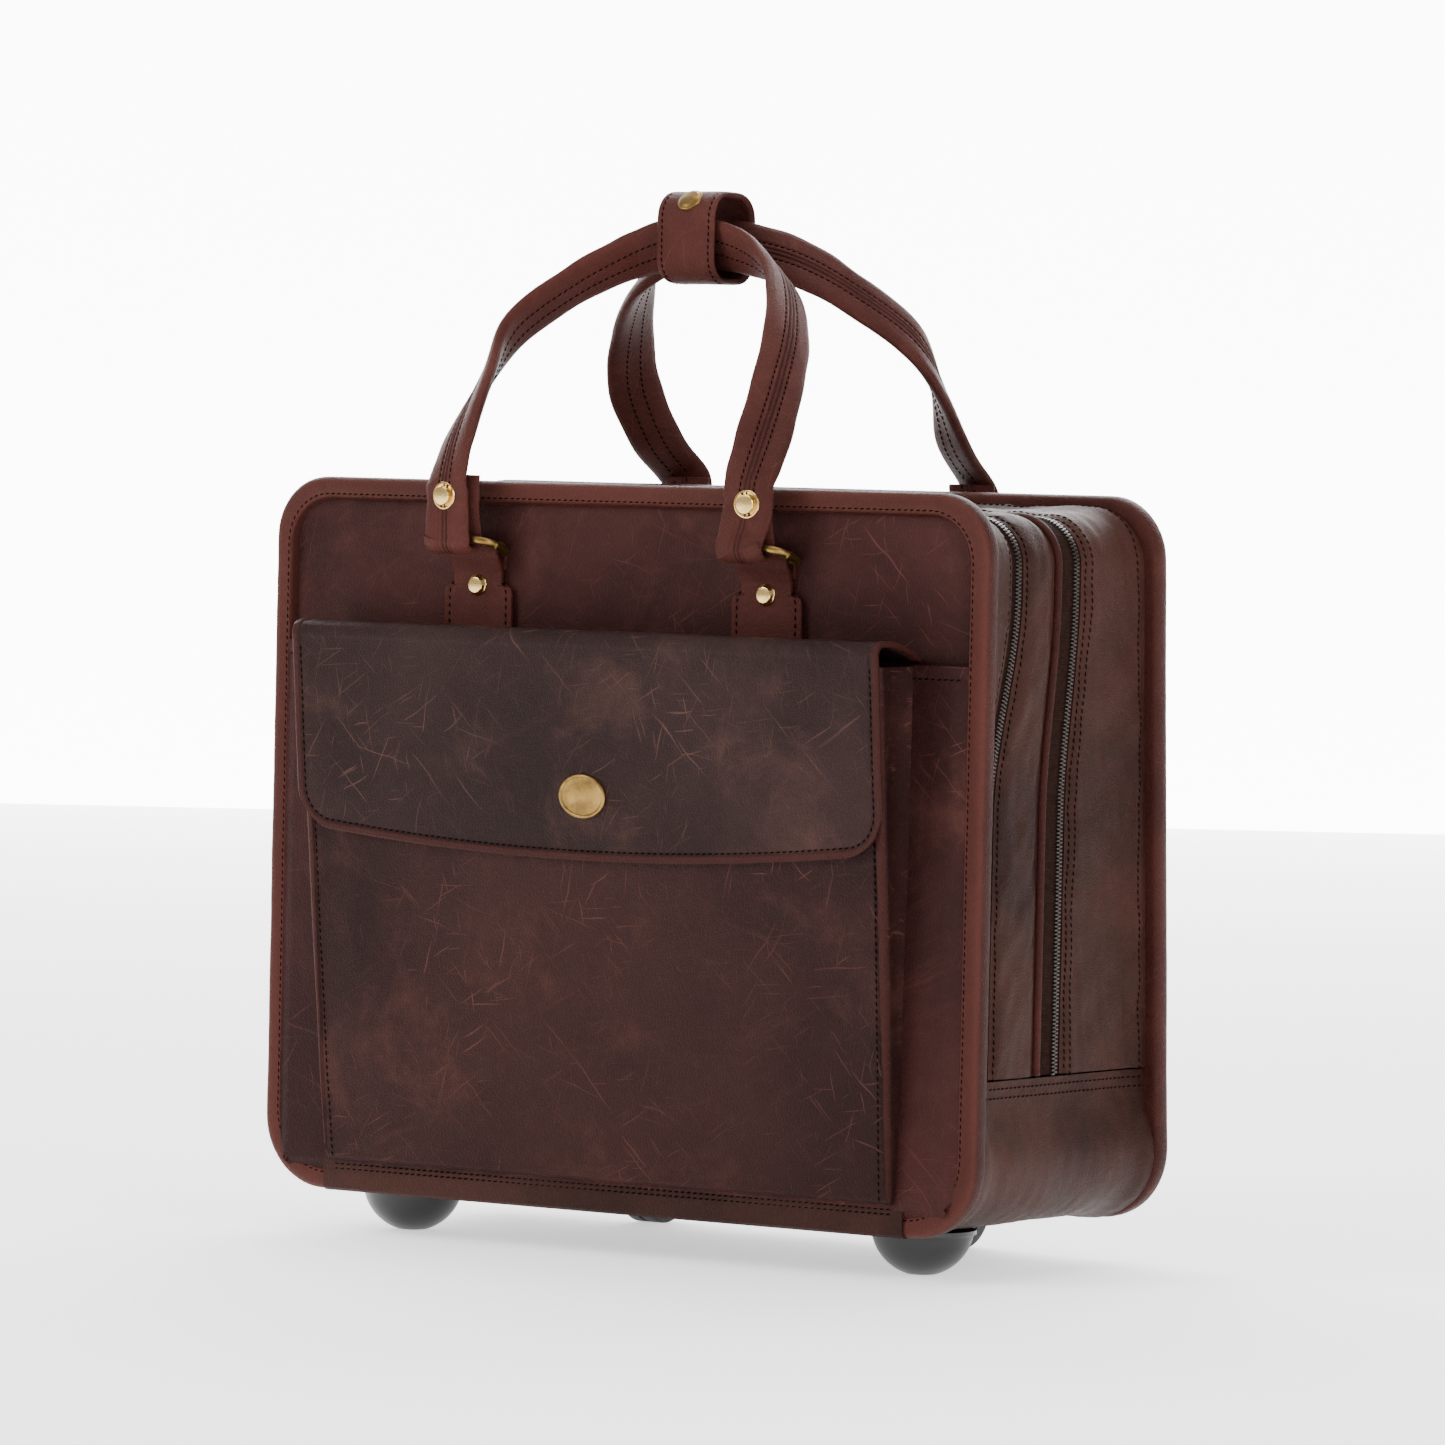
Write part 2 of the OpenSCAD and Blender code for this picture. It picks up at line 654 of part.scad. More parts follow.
// The whole route from the left end to the right, with [position, width direction, thickness] rows.
// Round the ring the width lies along X; above it the face turns outwards by each row's angle.
function point_at(row, side) =
    [side * row[0] + wrap_x * pow(sin(min(row[3], 90)), 4), front_y + row[1], row[2]];
function across_at(before, after, turn) = let (
        along = unit(after - before),
        face = unit([0, -1, 0] + along[1] * along),
        up = face * cos(turn) + cross(face, along) * sin(turn)
    ) cross(up, along);
function route() = let (
        h = half_route(),
        n = len(h),
        rows = concat(h, [[0, meet_d - arch_gap, arch_z, arch_turn, strap_t]], [for (i = [n - 1 : -1 : 0]) h[i]]),
        p = [for (i = [0 : 2 * n]) point_at(rows[i], i < n ? -1 : i > n ? 1 : 0)]
    ) [for (i = [0 : 2 * n]) [p[i],
        rows[i][3] == 0 ? [i < n ? -1 : 1, 0, 0] : across_at(p[i - 1], p[i + 1], rows[i][3]),
        rows[i][4]]];

// A smooth curve through four values, at a fraction of the way from the second to the third
function curve(a, b, c, d, f) = 0.5 * (2 * b + (c - a) * f + (2 * a - 5 * b + 4 * c - d) * f * f
    + (3 * b - a - 3 * c + d) * f * f * f);
function smooth(rows, k, steps) = let (n = len(rows)) [for (i = [0 : n - 2]) for (j = [0 : steps - 1])
    curve(rows[max(i - 1, 0)][k], rows[i][k], rows[i + 1][k], rows[min(i + 2, n - 1)][k], j / steps)];
function unit(v) = v / norm(v);

module band(rows, width, steps) {
    p = smooth(rows, 0, steps);
    u = smooth(rows, 1, steps);
    t = smooth(rows, 2, steps);
    n = len(p);
    pts = [for (i = [0 : n - 1]) let (
            tangent = unit(p[min(i + 1, n - 1)] - p[max(i - 1, 0)]),
            across = unit(u[i] - (u[i] * tangent) * tangent),
            up = cross(tangent, across)
        ) each [p[i] + across * width / 2 + up * t[i] / 2, p[i] - across * width / 2 + up * t[i] / 2,
                p[i] - across * width / 2 - up * t[i] / 2, p[i] + across * width / 2 - up * t[i] / 2]];
    sides = [for (i = [0 : n - 2]) for (k = [0 : 3]) let (a = 4 * i + k, b = 4 * i + (k + 1) % 4)
        each [[a, b, b + 4], [a, b + 4, a + 4]]];
    polyhedron(points = pts, faces = concat([[3, 2, 1, 0]], sides,
        [[4 * n - 4, 4 * n - 3, 4 * n - 2, 4 * n - 1]]), convexity = 8);
}

module front_handle_strap() {
    color("#6b3630") band(route(), strap_w - strap_seam, 4);
}

module back_handle_strap() {
    color("#6b3630") to_back(ring_front_d, ring_back_d) band(route(), strap_w - strap_seam, 4);
}

module front_handle_rivets() {
    color("#b08d4a") pair() translate([tab_x + leg_out[0], 0, handle_rivet_z])
        rivet(handle_rivet[0], handle_rivet[1], loop_d - layer_off - loop_t / 2 - handle_rivet_off);
}

module back_handle_rivets() {
    color("#b08d4a") pair() translate([tab_x + leg_out[0], 0, handle_rivet_z]) to_back(ring_front_d, ring_back_d)
        rivet(handle_rivet[0], handle_rivet[1], loop_d - layer_off - loop_t / 2 - handle_rivet_off);
}

// A leather wrap round both arches, closed with a snap
module wrap_outline(inset) {
    h = wrap_size[0] - 2 * inset;
    w = wrap_size[1] - 2 * inset;
    r = wrap_r - inset;
    square([w - 2 * r, h], center = true);
    square([w, h - 2 * r], center = true);
    for (s = [-1, 1]) for (q = [-1, 1]) translate([s * (w / 2 - r), q * (h / 2 - r)]) circle(r = r);
}
module wrap_band() {
    color("#5d322d") translate([wrap_x - wrap_w / 2, front_y + meet_d, wrap_low_z + wrap_size[0] / 2])
        rotate([90, 0, 90]) linear_extrude(wrap_w) difference() {
            wrap_outline(0);
            wrap_outline(wrap_t);
        }
}
module wrap_snap() {
    color("#a08050") translate([wrap_x, front_y + meet_d - snap_fore,
        wrap_low_z + wrap_size[0] + seat]) {
        cylinder(r = snap_r[0], h = snap_h[0]);
        cylinder(r = snap_r[1], h = snap_h[1]);
    }
}

// ---- Feet, wheels and housings ----

module foot_space() {
    pair() translate([foot_x, front_y + foot_d, 0]) cylinder(r = foot_hole_r, h = 2 * board_top_z);
}
module foot() {
    // A cap of a ball, standing on the floor, under a thin square plate
    difference() {
        union() {
            translate([0, 0, dome_base_z + foot_plate[2] / 2 - seat]) cube(foot_plate, center = true);
            intersection() {
                translate([0, 0, foot_r - foot_flat]) sphere(r = foot_r, $fn = 96);
                cylinder(r = foot_r + through, h = dome_base_z + through / 2);
            }
        }
        translate([0, 0, floor_gap - foot_bite - through])
            cylinder(r = foot_screw[0] + touch, h = foot_bite + 2 * through);
    }
}
module front_feet() {
    color("#1c1b1b") pair() translate([foot_x, front_y + foot_d, 0]) foot();
}
module foot_screws() {
    color("#8f8f8f") pair() translate([foot_x, front_y + foot_d, 0]) {
        translate([0, 0, floor_gap - foot_bite])
            cylinder(r = foot_screw[0], h = board_top_z - floor_gap + foot_bite + 2 * touch);
        translate([0, 0, board_top_z + touch]) cylinder(r = foot_screw[1], h = screw_head);
    }
}

module housing_block(grow) {
    translate([-housing_w / 2 - grow, front_y + wheel_d - wheel_r - housing_wall - grow,
        floor_gap - housing_sink - grow])
        cube([housing_w + 2 * grow, bottom_d - wheel_d + wheel_r + housing_behind + 2 * grow,
            housing_top_z - floor_gap + housing_sink + 2 * grow]);
}
module housing_space() {
    pair() translate([wheel_x, 0, 0]) housing_block(housing_fit);
}
module wheel_housings() {
    color("#1c1b1b") pair() translate([wheel_x, 0, 0]) difference() {
        housing_block(0);
        translate([-wheel_w / 2 - well_side, front_y + wheel_d, wheel_r]) rotate([0, 90, 0])
            cylinder(r = well_r, h = wheel_w + 2 * well_side);
        // The moulding is chamfered away above the back of the wheel
        translate([-housing_w, front_y + bottom_d + 4, housing_top_z]) rotate([-45, 0, 0])
            translate([0, 0, -2]) cube([2 * housing_w, 30, 30]);
        translate([-housing_w, front_y + wheel_d, wheel_r]) rotate([0, 90, 0])
            cylinder(r = axle_r + seat, h = 2 * housing_w);
    }
}
module housing_screws() {
    color("#8f8f8f") pair() for (s = [-1, 1])
        translate([wheel_x + s * housing_screw[0], front_y + wheel_d - housing_screw[1],
            housing_top_z + touch]) cylinder(r = housing_screw[2], h = screw_head);
}
module wheel_axles() {
    color("#b0b0b0") pair() translate([wheel_x - housing_w / 2, front_y + wheel_d, wheel_r])
        rotate([0, 90, 0]) cylinder(r = axle_r, h = housing_w);
}

module along_axle(x) {
    translate([x, front_y + wheel_d, wheel_r]) rotate([0, 90, 0]) children();
}
module tyre(x) {
    color("#2b2b2b") along_axle(x) difference() {
        rotate_extrude() difference() {
            union() {
                translate([rim_r, -wheel_w / 2 + 1.5]) square([wheel_r - rim_r, wheel_w - 3]);
                translate([rim_r, -wheel_w / 2]) square([wheel_r - rim_r - 1.5, wheel_w]);
                for (s = [-1, 1]) translate([wheel_r - 1.5, s * (wheel_w / 2 - 1.5)]) circle(r = 1.5);
            }
            translate([wheel_r, 0]) square([1.6, 2], center = true);
        }
    }
}
module hub(x) {
    color("#3c3c3e") along_axle(x) difference() {
        translate([0, 0, -wheel_w / 2 + 0.5]) cylinder(r = rim_r - 0.02, h = wheel_w - 1);
        for (s = [-1, 1]) translate([0, 0, s * (wheel_w / 2 - bearing_w / 2 - 0.5)])
            cylinder(r = bearing_r, h = bearing_w + 0.04, center = true);
        translate([0, 0, -wheel_w]) cylinder(r = axle_r + 1.5, h = 2 * wheel_w);
        for (s = [-1, 1]) translate([0, 0, s * wheel_w / 2]) difference() {
            cylinder(r = rim_r - 2.5, h = 5, center = true);
            cylinder(r = bearing_r + 1.6, h = 6, center = true);
            for (a = [0 : 60 : 300]) rotate([0, 0, a]) translate([-1, 0, -3]) cube([2, rim_r, 6]);
        }
    }
}
module bearings(x) {
    color("#a8a8a8") along_axle(x) for (s = [-1, 1])
        translate([0, 0, s * (wheel_w / 2 - bearing_w / 2 - 0.5)]) difference() {
            cylinder(r = bearing_r - 0.02, h = bearing_w, center = true);
            cylinder(r = axle_r + axle_fit, h = bearing_w + 1, center = true);
        }
}

// ---- Trolley ----

module tube(size, wall, z0, z1) {
    translate([0, front_y + tube_d, z0]) linear_extrude(z1 - z0) difference() {
        square(size, center = true);
        square([size[0] - 2 * wall, size[1] - 2 * wall], center = true);
    }
}
function inside(size) = [size[0] - 2 * tube_wall - 2 * tube_fit, size[1] - 2 * tube_wall - 2 * tube_fit];

module trolley_outer_tubes() {
    color("#9aa0a4") pair() translate([tube_x, 0, 0]) tube(tube_size, tube_wall, tube_low_z, tube_top_z);
}
module trolley_middle_tubes() {
    color("#a9afb3") pair() translate([tube_x, 0, 0])
        tube(middle_size, tube_wall, tube_low_z + 2, cup_floor_z + 1);
}
module trolley_inner_tubes() {
    color("#b8bdc0") pair() translate([tube_x, 0, 0])
        tube(inner_size, tube_wall, tube_low_z + 4, grip_low_z - touch);
}
// A crossbar that carries the tubes' feet
module trolley_base() {
    color("#222222") difference() {
        translate([-tube_x - tube_size[0] / 2 - 4, front_y + tube_d - tube_size[1] / 2 - 4,
            board_top_z + 0.2])
            cube([2 * tube_x + tube_size[0] + 8, tube_size[1] + 8, tube_low_z - board_top_z + 8]);
        pair() translate([tube_x, front_y + tube_d, tube_low_z - touch + 20])
            cube([tube_size[0] + 2 * touch, tube_size[1] + 2 * touch, 40], center = true);
        housing_space();
    }
}
module collar_space(grow) {
    translate([0, front_y + tube_d, top_z - 50])
        cube([collar_size[0] + 2 * grow, collar_size[1] + 2 * grow, 160], center = true);
}
// A cup set into the top gusset; the grip rests in it and the tubes pass its floor
module trolley_collar() {
    color("#222222") difference() {
        translate([0, front_y + tube_d, (collar_top_z + cup_floor_z) / 2])
            cube([collar_size[0], collar_size[1], collar_top_z - cup_floor_z], center = true);
        translate([0, front_y + tube_d, cup_floor_z + 3 + 50])
            cube([grip_size[0] + 2 * run, grip_size[1] + 2 * run, 100], center = true);
        pair() translate([tube_x, front_y + tube_d, cup_floor_z])
            cube([middle_size[0] + 2 * tube_fit, middle_size[1] + 2 * tube_fit, 20], center = true);
    }
}
module button_pocket(grow) {
    translate([0, front_y + tube_d, grip_top_z])
        cube([button_size[0] + 2 * grow, button_size[1] + 2 * grow, 20], center = true);
}
module trolley_grip() {
    r = grip_size[2] / 2 - 2;
    color("#1c1b1b") difference() {
        translate([0, front_y + tube_d, grip_low_z]) rotate([0, 0, 0])
            translate([-grip_size[0] / 2, 0, 0]) rotate([90, 0, 90]) linear_extrude(grip_size[0])
                union() {
                    translate([-grip_size[1] / 2 + r, 0]) square([grip_size[1] - 2 * r, grip_size[2]]);
                    translate([-grip_size[1] / 2, r]) square([grip_size[1], grip_size[2] - 2 * r]);
                    for (s = [-1, 1]) for (z = [r, grip_size[2] - r])
                        translate([s * (grip_size[1] / 2 - r), z]) circle(r = r);
                }
        button_pocket(run);
    }
}
module grip_button() {
    color("#3a3a3c") translate([0, front_y + tube_d, grip_top_z - button_size[1] / 2 + 3.5])
        linear_extrude(4) union() {
            square([button_size[0] - button_size[1], button_size[1]], center = true);
            for (s = [-1, 1]) translate([s * (button_size[0] - button_size[1]) / 2, 0])
                circle(d = button_size[1]);
        }
}
module button_spring() {
    low = grip_top_z - 10 + touch;
    high = grip_top_z - button_size[1] / 2 + 3.5 - touch;
    color("#c0c0c0") translate([0, front_y + tube_d, low]) difference() {
        cylinder(r = spring_r, h = high - low);
        translate([0, 0, -1]) cylinder(r = spring_r - 1, h = high - low + 2);
    }
}

// ---- Zip sliders and pulls, on the left side low down ----

module at_slider(ends) {
    translate([side_x - 0.3, front_y + seam_d(ends, slider_z), slider_z]) children();
}
module slider(ends) {
    color("#8a7442") at_slider(ends) difference() {
        union() {
            translate([-slider_size[0], -slider_size[1] / 2, 0]) cube(slider_size);
            translate([-slider_size[0] - bail[0], -bail[1] / 2, 2]) cube([bail[0] + 0.5, bail[1], bail[2]]);
        }
        translate([pivot_x, 0, 6]) rotate([90, 0, 0]) cylinder(r = pin_r + pin_fit, h = 10, center = true);
    }
}
module pull(ends) {
    color("#6b3630") at_slider(ends) translate([pivot_x, 0, 6]) {
        rotate([90, 0, 0]) cylinder(r = pin_r, h = 7, center = true);
        for (s = [-1, 1]) translate([-0.8, s * 3 - 0.7, -12]) cube([1.6, 1.4, 12.8]);
        translate([-1, -4, -36]) cube([2, 8, 24.2]);
    }
}

front_panel();
front_binding();
front_gusset();
zip_front();
middle_gusset();
gusset_piping();
zip_main();
rear_gusset();
back_binding();
back_panel();
bottom_panel();
base_board();
divider();
laptop_sleeve();
slip_pocket();
front_pocket();
flap_yoke();
pocket_magnet();
front_tabs();
front_tab_rivets();
back_tabs();
back_tab_rivets();
front_feet();
foot_screws();
wheel_housings();
housing_screws();
wheel_axles();
trolley_outer_tubes();
trolley_base();
trolley_collar();
flap();
flap_plaque();
flap_magnet();
front_handle_strap();
front_d_rings();
front_handle_rivets();
back_handle_strap();
back_d_rings();
back_handle_rivets();
wrap_band();
wrap_snap();
trolley_middle_tubes();
trolley_inner_tubes();
trolley_grip();
grip_button();
button_spring();
tyre(-wheel_x);  // tyre_left
hub(-wheel_x);  // hub_left
bearings(-wheel_x);  // bearings_left
tyre(wheel_x);  // tyre_right
hub(wheel_x);  // hub_right
bearings(wheel_x);  // bearings_right
slider(front_zip_d);  // front_zip_slider
pull(front_zip_d);  // front_zip_pull
slider(main_zip_d);  // main_zip_slider
pull(main_zip_d);  // main_zip_pull
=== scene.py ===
# %% [markdown]
# # A rolling leather laptop case
# The case stands on two domed feet and two small wheels. Its shell is waxed leather: stiff bound
# panels front and back, soft gussets between them, and two carry handles that meet in a wrap.
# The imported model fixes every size, so this lesson reads its places from there and only adds looks.

# %% Load the frame
import math

import bpy
import numpy as np
from mathutils import Matrix, Vector
from mathutils.bvhtree import BVHTree


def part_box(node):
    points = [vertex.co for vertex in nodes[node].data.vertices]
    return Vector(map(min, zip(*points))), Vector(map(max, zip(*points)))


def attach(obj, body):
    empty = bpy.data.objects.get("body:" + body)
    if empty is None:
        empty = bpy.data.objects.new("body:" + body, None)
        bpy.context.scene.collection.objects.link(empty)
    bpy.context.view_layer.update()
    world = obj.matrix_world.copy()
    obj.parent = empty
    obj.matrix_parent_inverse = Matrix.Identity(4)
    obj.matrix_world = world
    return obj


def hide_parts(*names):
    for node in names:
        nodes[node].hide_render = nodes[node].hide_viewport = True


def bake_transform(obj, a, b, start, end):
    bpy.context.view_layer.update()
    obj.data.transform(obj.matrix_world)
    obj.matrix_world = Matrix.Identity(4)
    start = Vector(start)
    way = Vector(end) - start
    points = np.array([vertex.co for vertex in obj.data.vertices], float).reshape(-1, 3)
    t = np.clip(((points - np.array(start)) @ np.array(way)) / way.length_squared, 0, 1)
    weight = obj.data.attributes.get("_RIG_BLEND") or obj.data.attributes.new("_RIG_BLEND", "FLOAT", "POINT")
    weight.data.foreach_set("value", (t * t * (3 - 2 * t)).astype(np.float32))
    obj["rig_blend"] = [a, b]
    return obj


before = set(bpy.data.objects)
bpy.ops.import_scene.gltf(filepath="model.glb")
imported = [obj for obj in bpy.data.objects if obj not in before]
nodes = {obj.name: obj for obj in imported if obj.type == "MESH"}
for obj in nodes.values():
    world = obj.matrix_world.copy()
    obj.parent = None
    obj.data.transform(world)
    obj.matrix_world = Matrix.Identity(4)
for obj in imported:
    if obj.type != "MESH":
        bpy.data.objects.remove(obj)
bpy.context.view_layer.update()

# %% [markdown]
# ## Places on the case
# Everything hangs on a few measures of the bound panels: their outline, where the front face lies,
# and how the back panel leans. The binding's box gives them.

# %% Measure the case
MM = 0.001
bind_low, bind_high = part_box("front_binding")
back_low, back_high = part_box("back_binding")
gusset_low, gusset_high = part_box("middle_gusset")
FRONT_Y = bind_low.y
HALF_W = bind_high.x / MM
LOW_Z = bind_low.z / MM
TOP_Z = bind_high.z / MM
BIND_D = (bind_high.y - bind_low.y) / MM
FLANGE = HALF_W - gusset_high.x / MM
HEM_Z = gusset_low.z / MM
TOP_R = 30
LOW_R = 36
BIND_W = 10
BACK_D = (back_high.y - FRONT_Y) / MM
BACK_LEAN = math.radians(2.7036)
print("front face at", round(FRONT_Y, 4), "and gussets inset by", round(FLANGE, 2), "mm")


def middle(name):
    """Middle of a CAD node's box as [x, depth behind the front face, z] in millimetres."""
    low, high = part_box(name)
    centre = (low + high) / 2
    return [centre.x / MM, (centre.y - FRONT_Y) / MM, centre.z / MM]


def back_depth(z):
    """Depth of the back binding's face behind the front face at a height."""
    return BACK_D - (z - LOW_Z) * math.tan(BACK_LEAN)


def wander(points, size, seed=1, amount=1.0):
    """Smooth random drift over points, with features of about a size, from -amount to amount."""
    chance = np.random.default_rng(seed)
    points = np.asarray(points, float)
    total = np.zeros(points.shape[:-1])
    for _ in range(14):
        way = chance.normal(size=3)
        way *= 2 * np.pi / size / np.linalg.norm(way) * chance.uniform(0.55, 1.5)
        total += np.cos(points @ way + chance.uniform(0, 6.28))
    return amount * total / 5.3


# %% [markdown]
# ## Outlines and skins
# Leather work is mostly bands that follow an outline, so two helpers carry the lesson. `outline`
# walks round the rounded panel. `skin` adds a primitive grid and wraps it over rows of points, which
# suits a strap, a binding or a puffed panel. Points are [x, depth, z] in millimetres, where depth is
# measured back from the front face.

# %% Outline and skin helpers
def walk(points, count, closed):
    """Evenly spaced points along a polyline, by length."""
    line = np.array(points, float)
    line = np.concatenate([line, line[:1]]) if closed else line
    steps = np.linalg.norm(np.diff(line[:, :3], axis=0), axis=1)
    run = np.concatenate([[0], np.cumsum(steps)])
    at = np.linspace(0, run[-1], count + 1)[:-1] if closed else np.linspace(0, run[-1], count)
    return np.stack([np.interp(at, run, line[:, k]) for k in range(line.shape[1])], 1)


def corner(cx, cz, r, start, steps=16):
    return [[cx + r * math.cos(math.radians(start + 90 * i / steps)),
             cz + r * math.sin(math.radians(start + 90 * i / steps))] for i in range(steps + 1)]


def outline(inset, count=440):
    """The panel's outline pulled in by inset, as [x, z], anticlockwise from the bottom right."""
    w, low, top = HALF_W - inset, LOW_Z + inset, TOP_Z - inset
    rt, rb = TOP_R - 0.6 * inset, LOW_R - 0.6 * inset
    points = (corner(w - rb, low + rb, rb, -90) + corner(w - rt, top - rt, rt, 0)
              + corner(-w + rt, top - rt, rt, 90) + corner(-w + rb, low + rb, rb, 180))
    return walk(points, count, True)


def directions(path, closed):
    """Unit tangents along a path."""
    if closed:
        step = np.roll(path, -1, 0) - np.roll(path, 1, 0)
    else:
        step = np.gradient(path, axis=0)
    return step / np.linalg.norm(step, axis=1, keepdims=True)


def clear_selection():
    if bpy.context.object and bpy.context.object.mode != "OBJECT":
        bpy.ops.object.mode_set(mode="OBJECT")
    bpy.ops.object.select_all(action="DESELECT")


def pick(piece):
    """Makes a piece the one selected and active object."""
    clear_selection()
    piece.select_set(True)
    bpy.context.view_layer.objects.active = piece


def apply_all(piece):
    """Applies every modifier of a piece, in order."""
    pick(piece)
    for modifier in list(piece.modifiers):
        bpy.ops.object.modifier_apply(modifier=modifier.name)


def skin(name, rows, ring=False, tube=False, caps=False, smooth=40):
    """Wraps a primitive grid over rows of points; ring closes the rows, tube closes each row."""
    rows = np.array(rows, float) * MM
    rows[..., 1] += FRONT_Y
    if ring:
        rows = np.concatenate([rows, rows[:1]], 0)
    if tube:
        rows = np.concatenate([rows, rows[:, :1]], 1)
    n, m = rows.shape[:2]
    clear_selection()
    bpy.ops.mesh.primitive_grid_add(x_subdivisions=m - 1, y_subdivisions=n - 1, size=1)
    piece = bpy.context.object
    piece.name = name
    piece.data.vertices.foreach_set("co", rows.reshape(-1))
    bpy.ops.object.mode_set(mode="EDIT")
    bpy.ops.mesh.select_all(action="SELECT")
    if ring or tube:
        bpy.ops.mesh.remove_doubles(threshold=1e-6)
    if caps:
        bpy.ops.mesh.fill_holes(sides=0)
    bpy.ops.mesh.select_all(action="SELECT")
    bpy.ops.mesh.normals_make_consistent(inside=False)
    bpy.ops.object.mode_set(mode="OBJECT")
    bpy.ops.object.shade_smooth_by_angle(angle=math.radians(smooth))
    piece.data.update()
    return piece


def thicken(piece, thickness, side=-1.0, bevel=0.0, smooth=40):
    """Gives a sheet its leather thickness and softens its cut edges."""
    wall = piece.modifiers.new("thickness", "SOLIDIFY")
    wall.thickness = thickness * MM
    wall.offset = side
    wall.use_even_offset = False
    if bevel:
        edge = piece.modifiers.new("edge", "BEVEL")
        edge.width = bevel * MM
        edge.segments = 3
        edge.limit_method = "ANGLE"
        edge.angle_limit = math.radians(50)
    apply_all(piece)
    bpy.ops.object.shade_smooth_by_angle(angle=math.radians(smooth))
    return piece


def turn_over(piece):
    pick(piece)
    bpy.ops.object.mode_set(mode="EDIT")
    bpy.ops.mesh.select_all(action="SELECT")
    bpy.ops.mesh.flip_normals()
    bpy.ops.object.mode_set(mode="OBJECT")


def outward(piece, direction):
    """Turns an open sheet's normals towards a direction before it gets its thickness."""
    total = sum((p.normal * p.area for p in piece.data.polygons), Vector())
    if total.dot(Vector(direction)) < 0:
        turn_over(piece)
    return piece


def place(piece, body, slot, material, *stands_for):
    """Gives a finished piece its material, its body and the CAD nodes that it stands for."""
    piece.data.materials.clear()
    piece.data.materials.append(material)
    if stands_for:
        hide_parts(*stands_for)
    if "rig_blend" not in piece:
        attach(piece, body)
    print(f"{piece.name}: {len(piece.data.polygons)} faces, rides on {body}")
    return piece


# %% [markdown]
# ## Leather
# Waxed pull-up leather is nearly black-brown where it is flat and reddish where it has been bent,
# rubbed or scratched, because the wax moves and the hide's own colour shows through. One node group
# makes that mask from cloudy noise, stretched streaks and thin scratches, and gives a colour, a
# roughness and a height. Each leather places the group with its own colours and amounts.

# %% Node helpers
def group(name, inputs, outputs):
    tree = bpy.data.node_groups.new(name, "ShaderNodeTree")
    for label, kind, value in inputs:
        socket = tree.interface.new_socket(label, in_out="INPUT", socket_type="NodeSocket" + kind)
        socket.default_value = value
    for label, kind in outputs:
        tree.interface.new_socket(label, in_out="OUTPUT", socket_type="NodeSocket" + kind)
    return tree, tree.nodes.new("NodeGroupInput"), tree.nodes.new("NodeGroupOutput")


def node(tree, kind, settings=None, **links):
    """Adds a node; settings are its properties, links are its inputs as values or sockets."""
    made = tree.nodes.new("ShaderNode" + kind)
    for key, value in (settings or {}).items():
        setattr(made, key, value)
    for key, value in links.items():
        label = key.replace("_", " ")
        socket = made.inputs[int(key[1:])] if key[1:].isdigit() else made.inputs[label]
        if isinstance(value, bpy.types.NodeSocket):
            tree.links.new(value, socket)
        else:
            socket.default_value = value
    return made


def math_node(tree, operation, a, b=0.0, clamp=False):
    return node(tree, "Math", {"operation": operation, "use_clamp": clamp}, i0=a, i1=b).outputs[0]


def mix_colour(tree, factor, a, b, blend="MIX"):
    made = node(tree, "Mix", {"data_type": "RGBA", "blend_type": blend, "clamp_factor": True},
                i0=factor, i6=a, i7=b)
    return made.outputs[2]


def ramp(tree, value, low, high):
    """0 below low, 1 above high, smooth between."""
    made = node(tree, "MapRange", {"interpolation_type": "SMOOTHSTEP"}, Value=value)
    made.inputs["From Min"].default_value = low
    made.inputs["From Max"].default_value = high
    return made.outputs[0]


def noise(tree, vector, scale, detail=4.0, roughness=0.55, distortion=0.0):
    return node(tree, "TexNoise", None, Vector=vector, Scale=scale, Detail=detail,
                Roughness=roughness, Distortion=distortion).outputs[0]


def turned(tree, vector, angle, stretch):
    """A vector turned in the panel's plane and stretched, for streaks and scratches."""
    spun = node(tree, "VectorRotate", {"rotation_type": "Y_AXIS"}, Vector=vector,
                Angle=math.radians(angle)).outputs[0]
    return node(tree, "VectorMath", {"operation": "MULTIPLY"}, i0=spun, i1=stretch).outputs[0]


# %% [markdown]
# ### The hide group
# Scratches are noise stretched about thirty to one and cut off near its peaks, laid at several angles
# and warped a little so that none is quite straight. Creases are the borders of large warped cells.

